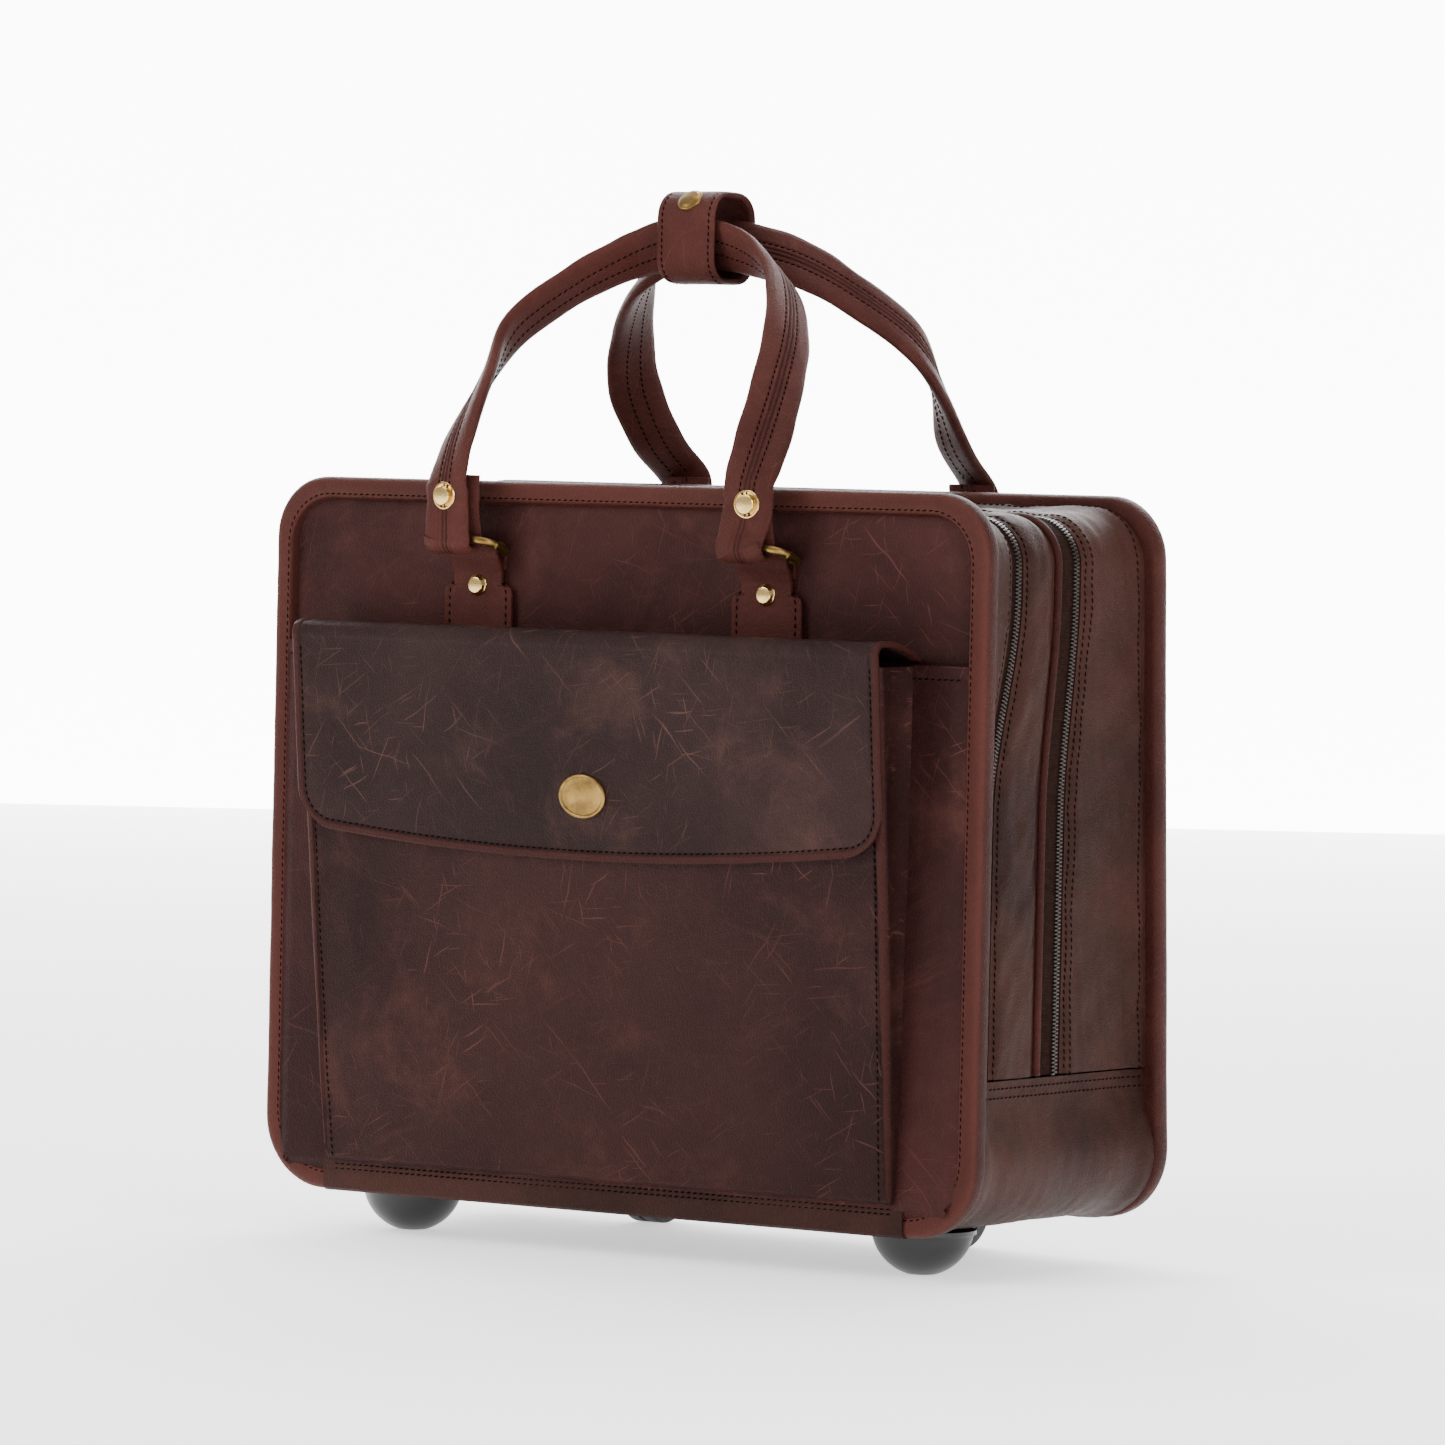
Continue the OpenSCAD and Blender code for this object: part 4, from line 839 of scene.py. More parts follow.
front_strip = strip("gusset_front", lambda z: BIND_D, lambda z: seam_depth(FRONT_ZIP, z) - ZIP_HALF, 2.2,
                    seed=31, shoulders=(4.5, 0))
finish_strip(front_strip, "gusset_leather", GUSSET, 1.8, "front_gusset")
middle_strip = strip("gusset_middle", lambda z: seam_depth(FRONT_ZIP, z) + ZIP_HALF,
                     lambda z: seam_depth(PIPING, z) - 2.4, 2.4, seed=41)
finish_strip(middle_strip, "gusset_leather", GUSSET, 1.8, "middle_gusset")
rear_strip = strip("gusset_rear", lambda z: seam_depth(MAIN_ZIP, z) + ZIP_HALF,
                   lambda z: back_depth(z) - BIND_D, 2.6, seed=51, columns=56, wrinkle=0.5, shoulders=(0, 5.0))
collar_low, collar_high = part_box("trolley_collar")
collar = [collar_low.x / MM, collar_high.x / MM,
          (collar_low.y - FRONT_Y) / MM, (collar_high.y - FRONT_Y) / MM]


def in_collar(x, d, z):
    """True where the trolley's collar breaks through the top of the gusset."""
    return z > 340 and collar[0] + 1 < x < collar[1] - 1 and collar[2] + 1 < d < collar[3] - 1


drop_faces(rear_strip, in_collar)
finish_strip(rear_strip, "gusset_leather", GUSSET, 1.8, "rear_gusset")

GUSSETS = surface_of(front_strip, middle_strip, rear_strip)
for name, ends, side in (("front_zip_a", FRONT_ZIP, -1), ("front_zip_b", FRONT_ZIP, 1),
                         ("main_zip_b", MAIN_ZIP, 1)):
    path, out = along_sides(lambda z, e=ends, s=side: seam_depth(e, z) + s * (ZIP_HALF + 2.9), 0.55)
    stitches(f"stitches_{name}", path, out, "case", slot="gusset_leather", on=GUSSETS)
path, out = along_sides(lambda z: seam_depth(MAIN_ZIP, z) + ZIP_HALF + 6.4, 1.9)
stitches("stitches_main_zip_c", path, out, "case", slot="gusset_leather", on=GUSSETS)
path, out = along_sides(lambda z: back_depth(z) - BIND_D - 6.0, 3)
stitches("stitches_back_edge", path, out, "case", slot="gusset_leather", on=GUSSETS)

# %% [markdown]
# The piping is a cord wrapped in red-brown leather. The zips are flat tape with two rows of teeth
# that mesh: every tooth is a small wedge copied along the tape.

# %% Piping and zips
def tube_along(name, path, radius, sides=14, closed=False):
    """A round cord or wire along a path of [x, depth, z]."""
    path = np.array(path, float)
    way = directions(path, closed)
    guide = np.array([0.0, 1.0, 0.0]) + np.zeros_like(path)
    guide[np.abs(way[:, 1]) > 0.9] = (1.0, 0.0, 0.0)
    a = np.cross(way, guide)
    a /= np.linalg.norm(a, axis=1, keepdims=True)
    b = np.cross(way, a)
    turn = np.linspace(0, 2 * np.pi, sides, endpoint=False)
    rows = path[:, None] + radius * (np.cos(turn)[None, :, None] * a[:, None]
                                     + np.sin(turn)[None, :, None] * b[:, None])
    return skin(name, rows, ring=closed, tube=True, caps=not closed)


path, out = along_sides(lambda z: seam_depth(PIPING, z), 0.4)
piping = tube_along("piping", path, 2.3)
place(piping, "case", "binding_leather", BINDING, "gusset_piping")


def copies(name, shape, faces, spots, axes, body, slot, material):
    """Joins copies of one small shape; axes are three unit vectors for each spot."""
    points = np.array(spots, float) * MM
    points[:, 1] += FRONT_Y
    along, across, up = axes
    shape = np.array(shape) * MM
    co = (points[:, None] + shape[None, :, :1] * along[:, None] + shape[None, :, 1:2] * across[:, None]
          + shape[None, :, 2:] * up[:, None])
    return place(joined(name, co, faces), body, slot, material)


TOOTH = [(-0.5, -1.5, -0.5), (0.5, -1.5, -0.5), (0.42, 1.3, -0.5), (-0.42, 1.3, -0.5),
         (-0.4, -1.4, 0.45), (0.4, -1.4, 0.45), (0.3, 1.2, 0.6), (-0.3, 1.2, 0.6)]
CUBE_FACES = [(3, 2, 1, 0), (4, 5, 6, 7), (0, 1, 5, 4), (1, 2, 6, 5), (2, 3, 7, 6), (3, 0, 4, 7)]


def zip_run(name, ends, first, cad_node):
    """Two tapes and two meshing rows of teeth along a seam."""
    bands = [(first, lambda z: seam_depth(ends, z) - 0.4),
             (lambda z: seam_depth(ends, z) + 0.4, lambda z: seam_depth(ends, z) + ZIP_HALF)]
    for k, (a, b) in enumerate(bands):
        rows = [along_sides((lambda z, f=f: a(z) + (b(z) - a(z)) * f), -0.45 + 0.25 * math.sin(f * 3.14))[0]
                for f in np.linspace(0, 1, 7)]
        piece = skin(f"{name}_tape_{k}", np.stack(rows, 1))
        finish_strip(piece, "zip_tape", TAPE, 0.8, *([cad_node] if k == 0 else []))
    for side in (-1, 1):
        path, out = along_sides(lambda z: seam_depth(ends, z) + side * 0.95, 0.25, 900)
        length = np.linalg.norm(np.diff(path, axis=0), axis=1).sum()
        count = int(length / 1.9)
        both = walk(np.concatenate([path, out], 1), count * 2 + 1, False)[(side + 1) // 2::2]
        spots, up = both[:, :3], both[:, 3:]
        up /= np.linalg.norm(up, axis=1, keepdims=True)
        along = directions(spots, False)
        across = np.cross(up, along)
        across /= np.linalg.norm(across, axis=1, keepdims=True)
        flip = np.sign(across[:, 1:2]) * -side
        copies(f"{name}_teeth_{'ab'[(side + 1) // 2]}", TOOTH, CUBE_FACES, spots,
               (along * flip, across * flip, up), "case", "zip_tape", TEETH)


zip_run("zip_front", FRONT_ZIP, lambda z: seam_depth(FRONT_ZIP, z) - ZIP_HALF, "zip_front")
zip_run("zip_main", MAIN_ZIP, lambda z: seam_depth(PIPING, z) + 2.0, "zip_main")

# %% [markdown]
# ## Bottom panel
# The gussets end at a hem, and one piece of leather runs from there round the underside. Between the
# corners it lies flush with the bindings and wraps up over the front edge in a stitched strip.

# %% Bottom leather
BOTTOM = strip("bottom_band", lambda z: BIND_D, lambda z: back_depth(z) - BIND_D, 0.8, seed=61,
               hem="below", columns=60, wrinkle=0.2, shoulders=(3.0, 3.5), skirt=9.2)
drop_faces(BOTTOM, lambda x, d, z: by_housing(x, z, -1) and d > HOUSING_D + 1)
finish_strip(BOTTOM, "gusset_leather", GUSSET, 2.2, "bottom_panel")
for rise in (4.0, 8.5):
    for side in (-1, 1):
        z_rows = HEM_Z - rise
        depths = np.linspace(BIND_D + 3, back_depth(z_rows) - BIND_D - 3, 50)
        stitches(f"hem_stitches_{rise:.0f}_{'lr'[side > 0]}",
                 np.stack([np.full(50, side * (HALF_W - FLANGE + 1.15)), depths, np.full(50, z_rows)], 1),
                 (side, 0, 0), "case", slot="gusset_leather", on=surface_of(BOTTOM))


strip_x = np.linspace(-175, 175, 130)
profile = [(9.5, LOW_Z + 0.6), (3.0, LOW_Z - 0.3), (0.8, LOW_Z - 0.2), (-0.8, LOW_Z + 1.2),
           (-1.3, LOW_Z + 4),
           (-1.35, LOW_Z + 8), (-1.3, LOW_Z + 10.6), (-1.1, LOW_Z + 11.2), (-1.3, LOW_Z + 11.9), (-1.25, LOW_Z + 13),
           (-1.05, LOW_Z + 13.6), (-1.25, LOW_Z + 14.2), (-1.1, LOW_Z + 15.1),
           (-0.2, LOW_Z + 15.6), (0.6, LOW_Z + 15.4)]
rows = np.array([[[x, d + 0.25 * math.sin(x / 23) * (d < 0), z] for d, z in profile] for x in strip_x])
edge_strip = skin("bottom_strip", rows)
thicken(outward(edge_strip, (0, -1, -0.3)), 0.9)
place(edge_strip, "case", "binding_leather", GUSSET)
for z in (LOW_Z + 11.2, LOW_Z + 13.6):
    path = np.stack([strip_x[3:-3], np.full(124, -1.15), np.full(124, z)], 1)
    stitches(f"bottom_strip_stitches_{z:.0f}", path, (0, -1, 0), "case")

# %% [markdown]
# ## Front pocket and flap
# The pocket is a wedge of the same leather with folded, stitched side edges. The flap starts on the
# panel, runs over the mouth and hangs down the pocket's sloping front, so one sheet bends at the ridge
# when the flap opens.

# %% Front pocket
pocket_low, pocket_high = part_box("front_pocket")
P_HALF = pocket_high.x / MM
P_FOOT, P_TOP = pocket_low.z / MM, pocket_high.z / MM
P_FOOT_D, P_TOP_D = 7.0, -(pocket_low.y - FRONT_Y) / MM


def pocket_face(z):
    return P_FOOT_D + (P_TOP_D - P_FOOT_D) * np.clip((z - P_FOOT) / (P_TOP - P_FOOT), 0, 1)


def edge_spaced(half, count=120):
    """Places from -half to half, close together near both ends."""
    t = np.linspace(0, 1, count)
    near = half * (1 - np.exp(-t * 3.4)) / (1 - np.exp(-3.4))
    return np.concatenate([-near[::-1], near[1:]])


rows = []
heights = np.concatenate([[P_FOOT, P_FOOT], np.linspace(P_FOOT + 0.8, P_TOP, 170)])
front_x = edge_spaced(1.0)
for k, z in enumerate(heights):
    out = pocket_face(z) * (0.35, 0.8, 1.0)[min(k, 2)]
    out -= 2.2 * math.exp(-(max(z - P_FOOT, 0) / 2.2))
    half = P_HALF - 3.5 * (1 - (z - P_FOOT) / (P_TOP - P_FOOT)) ** 2 - 1.6 * math.exp(-(z - P_FOOT) / 2.5)
    radius = min(3.2, out * 0.4)
    side_depth = np.linspace(-2.0, -(out - radius), 16)
    fold = 3.0 * np.sin(np.linspace(0, np.pi, 16)) * smooth_step(z, P_FOOT + 20, P_TOP)
    left = [[-half + f, d, z] for f, d in zip(fold, side_depth)]
    arc = [[-half + radius * (1 - math.cos(a)), -(out - radius) - radius * math.sin(a), z]
           for a in np.linspace(0, 1.5708, 8)[1:]]
    face = [[x, -out, z] for x in front_x[1:-1] * (half - radius)]
    right_arc = [[-x, d, zz] for x, d, zz in arc[::-1]]
    right = [[-x, d, zz] for x, d, zz in left[::-1]]
    rows.append(left + arc + face + right_arc + right)
rows = np.array(rows)
edge = np.minimum(P_HALF - 1.5 - np.abs(rows[..., 0]), rows[..., 2] - P_FOOT)
on_face = smooth_step(-rows[..., 1] - pocket_face(rows[..., 2]) + 1.5, 0, 1)
rim_lift = 0.55 * (1 - smooth_step(edge, 3.0, 4.4)) - 0.5 * np.exp(-((edge - 4.7) / 0.8) ** 2)
soft = wander(rows, 120, 71, 0.9) * smooth_step(edge, 4, 30) + wander(rows, 30, 72, 0.22)
rows[..., 1] -= (rim_lift + soft) * on_face
pocket = skin("pocket_front", rows)
thicken(outward(pocket, (0, -1, 0)), 1.8)
paint(pocket, lambda p: np.where(P_HALF - 1.5 - np.abs(p[:, 0]) < 3.6, 1.0, 0.0)
      * smooth_step(-p[:, 1] - pocket_face(p[:, 2]), -2.5, -0.8))
# The pocket is the panel leather painted darker: painted shade that offsets the extra light on its forward-leaning
# face.
POCKET_SHADED = leather("pocket_leather_painted_shade", (0.0105, 0.003, 0.0025), (0.0255, 0.0078, 0.0064), (0.105, 0.038, 0.029),
                 0.9, 0.48, 0.95, (0.9, 0.5, 0.35), rim=(0.034, 0.0084, 0.0062))
place(pocket, "case", "panel_leather", POCKET_SHADED, "front_pocket")
for side in (-1, 1):
    z = np.linspace(P_FOOT + 3, P_TOP - 2, 80)
    half = P_HALF - 3.5 * (1 - (z - P_FOOT) / (P_TOP - P_FOOT)) ** 2 - 1.5 - 4.7
    path = np.stack([side * half, -pocket_face(z) + 0.35, z], 1)
    stitches(f"pocket_stitches_{'lr'[side > 0]}", path, (0, -1, -0.1), "case", slot="panel_leather",
             on=surface_of(pocket))

# %% Flap
flap_low_box, flap_high_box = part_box("flap")
F_HALF = flap_high_box.x / MM
F_LOW, F_RIDGE = flap_low_box.z / MM, flap_high_box.z / MM
F_SLOPE = (P_TOP_D - P_FOOT_D) / (P_TOP - P_FOOT)
F_TOP_D = (flap_low_box.y - FRONT_Y) / MM
F_CURVE, F_R = 11.0, 22.0


def flap_outer(z):
    """Depth of the hanging flap's outer face."""
    return F_TOP_D + (F_RIDGE - z) * F_SLOPE


def flap_bottom(x):
    """Height of the flap's lower edge at a place across it."""
    x = np.abs(np.asarray(x, float))
    base = F_LOW + F_CURVE * (x / F_HALF) ** 2
    over = np.clip(x - (F_HALF - F_R), 0, F_R)
    return base + F_R - np.sqrt(np.maximum(F_R ** 2 - over ** 2, 0))


def flap_edge(inset, top=F_RIDGE - 14):
    """The flap's side and lower edges pulled in by inset, left to right, as [x, z]."""
    half, r = F_HALF - inset, F_R - inset
    knee = F_LOW + F_CURVE * ((F_HALF - F_R) / F_HALF) ** 2
    points = [[-half, top]]
    points += [[-half + r - r * math.cos(a), knee + F_R - r * math.sin(a)]
               for a in np.linspace(0, 1.45, 14)]
    points += [[x, F_LOW + inset + F_CURVE * (x / F_HALF) ** 2]
               for x in np.linspace(-half + r + 2, half - r - 2, 40)]
    points += [[-x, z] for x, z in points[14:0:-1]] + [[half, top]]
    return walk(np.array(points), 420, False)


top_route = np.array([(3.4, 302.0), (1.0, 303.2), (-3.0, 305.4), (-9.0, 307.8), (-16.0, 309.4), (-23.0, 310.2),
                      (-28.0, 310.3), (-31.5, 309.8), (-34.0, 308.2), (-35.4, 305.6), (-35.6, 302.0)])
top_route[:, 1] += F_RIDGE - 310
top_route = walk(top_route, 46, False)
flap_x = edge_spaced(F_HALF, count=130)
columns = []
for x in flap_x:
    low = float(flap_bottom(x))
    start = top_route[-1, 1]
    share = (1 - np.exp(-2.2 * np.linspace(0, 1, 190))) / (1 - math.exp(-2.2))
    down = [(flap_outer(z), z) for z in start + (low - start) * share]
    columns.append([[x, d, z] for d, z in list(top_route[:-1]) + down])
rows = np.array(columns)
side_gap = F_HALF - np.abs(rows[..., 0])
low_gap = rows[..., 2] - flap_bottom(np.clip(np.abs(rows[..., 0]), 0, F_HALF - F_R))
low_gap = np.where(rows[..., 2] > F_RIDGE - 20, 99, low_gap)
corner_x = np.clip(np.abs(rows[..., 0]) - (F_HALF - F_R), 0, None)
knee = F_LOW + F_CURVE * ((F_HALF - F_R) / F_HALF) ** 2 + F_R
corner_z = np.clip(knee - rows[..., 2], 0, None)
in_corner = (corner_x > 0) & (corner_z > 0)
flap_gap = np.where(in_corner, F_R - np.hypot(corner_x, corner_z), np.minimum(side_gap, low_gap))
flap_gap = np.maximum(flap_gap, 0)
lift = 0.5 * (1 - smooth_step(flap_gap, 3.0, 4.4)) - 0.55 * np.exp(-((flap_gap - 4.9) / 0.8) ** 2)
lift -= 0.7 * (1 - smooth_step(flap_gap, 0, 1.2))
soft = (wander(rows, 130, 81, 0.7) * smooth_step(flap_gap, 4, 30) + wander(rows, 34, 82, 0.22)
        + wander(rows, 11, 83, 0.06))
over_top = smooth_step(rows[..., 2], F_RIDGE - 9, F_RIDGE - 2)
rows[..., 1] -= (lift + soft) * (1 - over_top)
rows[..., 2] += (lift * 0.8 + soft * 0.8) * over_top * smooth_step(-rows[..., 1], 2, 10)
flap = skin("flap_sheet", rows)
thicken(outward(flap, (0, -1, 0.25)), 2.2)


def flap_rim(p):
    gap = np.minimum(F_HALF - np.abs(p[:, 0]), np.where(p[:, 2] > F_RIDGE - 20, 99,
                     p[:, 2] - flap_bottom(np.clip(np.abs(p[:, 0]), 0, F_HALF - F_R))))
    cx = np.clip(np.abs(p[:, 0]) - (F_HALF - F_R), 0, None)
    cz = np.clip(knee - p[:, 2], 0, None)
    gap = np.where((cx > 0) & (cz > 0), F_R - np.hypot(cx, cz), gap)
    return 1 - smooth_step(gap, 3.2, 4.6)


paint(flap, flap_rim)
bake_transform(flap, "case", "flap", (0, FRONT_Y - 26 * MM, (F_RIDGE + 2) * MM),
         (0, FRONT_Y - 38 * MM, (F_RIDGE - 12) * MM))
place(flap, "flap", "flap_leather", FLAP_SHADED, "flap", "flap_yoke")
edge_line = flap_edge(4.9)
edge_path = np.stack([edge_line[:, 0], flap_outer(edge_line[:, 1]) + 0.5, edge_line[:, 1]], 1)
stitches("flap_stitches", edge_path, (0, -1, -0.09), "flap", slot="flap_leather", on=surface_of(flap))

# %% [markdown]
# The plaque is a plain domed oval in antique brass with a raised rim, turned like a coin and stretched.

# %% Plaque and rivets
def turned_piece(profile, sides=48, stretch=(1.0, 1.0)):
    """A round piece about +Z from [radius, height] pairs, in millimetres about its own middle."""
    turn = np.linspace(0, 2 * np.pi, sides, endpoint=False)
    return np.array([[[r * math.cos(a) * stretch[0], r * math.sin(a) * stretch[1], h]
                      for r, h in profile] for a in turn])


def set_down(local, centre, tilt=0.0, face="front"):
    """Turns a piece made about +Z to face the front or the back, leaning by tilt, at a place."""
    out = np.empty_like(local)
    side = -1 if face == "front" else 1
    c, n = math.cos(tilt), math.sin(tilt)
    out[..., 0] = local[..., 0] * -side + centre[0]
    up, forth = local[..., 1], local[..., 2]
    out[..., 1] = side * (forth * c) - up * n * side + centre[1]
    out[..., 2] = up * c + forth * n + centre[2]
    return out


plaque_mid = middle("flap_plaque")
oval = [(10.2, -0.4), (10.2, 0.9), (9.9, 1.35), (9.4, 1.5), (8.9, 1.3), (8.6, 0.8), (8.2, 0.75),
        (6.0, 1.2), (3.0, 1.55), (0.01, 1.65)]
local = turned_piece(oval, stretch=(1.36, 1.08))
plaque_depth = float(flap_outer(plaque_mid[2]))
piece = skin("plaque", set_down(local, (0, plaque_depth, plaque_mid[2]), -math.atan(F_SLOPE)), ring=True)
place(piece, "flap", "antique_brass", ANTIQUE, "flap_plaque")

# %% [markdown]
# ## Tabs and rings
# Each handle hangs from a brass ring held by a folded tab. The tab is riveted to the panel and turns
# round the ring's bar.

# %% Tabs and rings
TAB_X = 87.0
RING_Z = TOP_Z - 35
RING_D = -0.26
TAB_FOOT, TAB_NECK = 41.0, 29.0
RING_SLIP = {("front", -1): -2.0, ("front", 1): -1.0, ("back", -1): -1.0, ("back", 1): 0.0}
MEET_D = middle("wrap_band")[1]


def to_back(points):
    """Mirrors points about the plane where the two handles meet."""
    out = np.array(points, float)
    out[..., 1] = 2 * MEET_D - out[..., 1]
    return out


def tab_rows(low):
    route = [(0.35, low), (0.2, 300), (0.0, 325), (-0.3, 336), (-2.2, 340.4), (-4.3, 343.6), (-5.0, 347),
             (-4.3, 350.2),
             (-2.4, 351.9), (0.2, 352.0), (2.6, 350.6), (4.0, 348.2), (4.3, 345.0), (4.0, 338.0)]
    route = walk(np.array([p for p in route if p[1] >= low]), 90, False)
    half_w = TAB_NECK / 2 + (TAB_FOOT - TAB_NECK) / 2 * (1 - smooth_step(route[:, 1], 325, 341))
    half_w[np.arange(90) > 45] = TAB_NECK / 2
    across = edge_spaced(1.0, count=24)
    out = np.empty((90, len(across), 3))
    out[..., 0] = half_w[:, None] * across[None]
    out[..., 1] = route[:, :1]
    out[..., 2] = route[:, 1:]
    gap = half_w[:, None] * (1 - np.abs(across[None]))
    lift = (0.25 * (1 - smooth_step(gap, 1.6, 2.6)) - 0.4 * np.exp(-((gap - 3.2) / 0.7) ** 2)
            - 0.6 * (1 - smooth_step(gap, 0, 0.9)))
    out[..., 1] -= lift * (np.arange(90) < 48)[:, None]
    return out


def ring_path(radius=10.0, reach=17.0, half=19.2, tilt=20.0):
    points = [(-half, 0), (half, 0)]
    points += [(half - radius + radius * math.cos(a), -(reach - radius) - radius * math.sin(a))
               for a in np.linspace(0, 1.57, 9)]
    points += [(-half + radius - radius * math.sin(a), -(reach - radius) - radius * math.cos(a))
               for a in np.linspace(0, 1.57, 9)]
    line = walk(np.array(points), 96, True)
    t = math.radians(tilt)
    return np.stack([line[:, 0], line[:, 1] * math.cos(t), -line[:, 1] * math.sin(t)], 1)


TAB_RIVET = [(5.6, -0.5), (5.6, 0.6), (5.4, 0.95), (5.0, 1.2), (4.3, 2.7), (3.9, 3.0), (3.4, 3.1), (0.01, 3.15)]
HANDLE_RIVET = [(7.0, -0.6), (7.0, 0.5), (6.75, 0.9), (6.3, 0.95), (6.0, 0.55), (5.0, 0.45),
                (4.85, 0.7), (4.8, 2.5), (4.5, 2.9), (4.0, 3.0), (0.01, 3.05)]


def finish_metal(name, rows, body, slot, material, *stands_for, ring=True, smooth=30):
    return place(skin(name, rows, ring=ring, smooth=smooth), body, slot, material, *stands_for)


for face in ("front", "back"):
    flip = (lambda p: np.array(p, float)) if face == "front" else to_back
    normal = (0, -1, 0) if face == "front" else (0, 1, 0)
    low = 285 if face == "front" else 316.5
    for side in (-1, 1):
        tag = f"{face}_{'lr'[side > 0]}"
        first = side == -1
        rows = tab_rows(low)
        rows[..., 0] += side * TAB_X
        tab = skin(f"tab_{tag}", flip(rows))
        solid = tab.modifiers.new("thickness", "SOLIDIFY")
        solid.thickness = 1.9 * MM
        total = sum((p.normal.y * p.area for p in tab.data.polygons if p.center.z < 0.335))
        solid.offset = -1 if (total < 0) == (face == "front") else 1
        apply_all(tab)
        bpy.ops.object.shade_smooth_by_angle(angle=math.radians(40))
        place(tab, "case", "binding_leather", HANDLE, *([f"{face}_tabs"] if first else []))
        for edge_side in (-1, 1):
            z = np.linspace(max(low + 3, 300), 334, 24)
            half_w = TAB_NECK / 2 + (TAB_FOOT - TAB_NECK) / 2 * (1 - smooth_step(z, 325, 341)) - 3.2
            path = np.stack([side * TAB_X + edge_side * half_w, np.full(24, 0.25), z], 1)
            stitches(f"tab_stitches_{tag}_{'lr'[edge_side > 0]}", flip(path), normal, "case", pitch=3.2, length=2.4)
        wire = ring_path()
        wire[:, 0] += side * TAB_X + RING_SLIP[face, side]
        wire[:, 1] += RING_D
        wire[:, 2] += RING_Z
        ring = tube_along(f"ring_{tag}", flip(wire), 2.05, 14, closed=True)
        place(ring, f"{face}_rings", "antique_brass", ANTIQUE, *([f"{face}_d_rings"] if first else []))
        centre = flip([side * TAB_X, 0.2, 330.0])
        rows = set_down(turned_piece(TAB_RIVET, 12), centre, 0.0, face)
        finish_metal(f"tab_rivet_{tag}", rows, "case", "bright_brass", BRIGHT,
                     *([f"{face}_tab_rivets"] if first else []), smooth=24)

# %% [markdown]
# ## Carry handles
# A strap is folded leather with a seam down its middle and a row of stitches at each side of the seam.
# It starts behind the ring, turns round it, runs up as two layers that merge, and turns over until its
# face looks up and inwards where the two handles meet. The route is a table of stations joined by a smooth curve.

# %% Handle straps
RING_WIRE, LOOP_T, STRAP_T, STRAP_HALF = 4.0, 4.4, 7.0, 13.5
LOOP_D = RING_D - 17 * math.cos(math.radians(20))
LOOP_Z = RING_Z + 17 * math.sin(math.radians(20))
LOOP_FIT = 0.4
LOOP_R = RING_WIRE / math.sqrt(2) + LOOP_FIT + LOOP_T / 2
LAYER = LOOP_T / 2 + LOOP_FIT
ARCH_Z = TOP_Z + 121
ARCH_D = MEET_D - 7.7
WRAP_X = middle("wrap_band")[0] - 10.0
# for each leg: where its loop and its rivet sit, then x, shares of the way in and up, and the turn
LEGS = {
    ("front", -1): (-91.0, -93.0, ((-95, 0.10, 0.21, 24), (-94.5, 0.31, 0.43, 48), (-93.5, 0.55, 0.64, 90),
                                   (-74, 0.79, 0.82, 108), (-53, 0.93, 0.925, 128), (-33, 0.99, 0.98, 152))),
    ("front", 1): (85.0, 88.5, ((87, 0.10, 0.21, 30), (82, 0.31, 0.43, 54), (72, 0.55, 0.64, 82),
                                (54, 0.79, 0.82, 104), (33, 0.93, 0.925, 130), (10, 0.99, 0.98, 152))),
    ("back", -1): (-89.0, -93.0, ((-97, 0.20, 0.21, 24), (-99, 0.40, 0.43, 48), (-88, 0.60, 0.64, 84),
                                  (-64, 0.89, 0.82, 114), (-46, 0.965, 0.925, 136), (-32, 0.995, 0.98, 155))),
    ("back", 1): (86.0, 86.5, ((86, 0.20, 0.21, 18), (88, 0.40, 0.43, 50), (82, 0.60, 0.64, 92),
                               (62, 0.89, 0.82, 116), (37, 0.965, 0.925, 138), (10, 0.995, 0.98, 156)))}
FIRST_TURN = 12


def half_route(face, side):
    """Stations up one leg: x, depth, z, turn in degrees and thickness; no turn round the ring."""
    reach, rise = ARCH_D - LOOP_D, ARCH_Z - (LOOP_Z + 24)
    loop_x, rivet_x, higher = LEGS[face, side]
    rows = [[loop_x, LOOP_D + LAYER, LOOP_Z + 32, None, LOOP_T],
            [loop_x, LOOP_D + LAYER, LOOP_Z + 20, None, LOOP_T]]
    for a in (20, -20, -55, -90, -125, -160, -200):
        t = math.radians(a)
        rows.append([loop_x, LOOP_D + LOOP_R * math.cos(t), LOOP_Z + LOOP_R * math.sin(t), None, LOOP_T])
    rows += [[rivet_x, LOOP_D - LAYER, LOOP_Z + 20, 5, LOOP_T],
             [rivet_x, LOOP_D - LAYER, LOOP_Z + 31, FIRST_TURN, LOOP_T]]
    for x, d, z, turn in higher:
        rows.append([x, LOOP_D + d * reach, LOOP_Z + 24 + z * rise, turn, STRAP_T])
    return rows


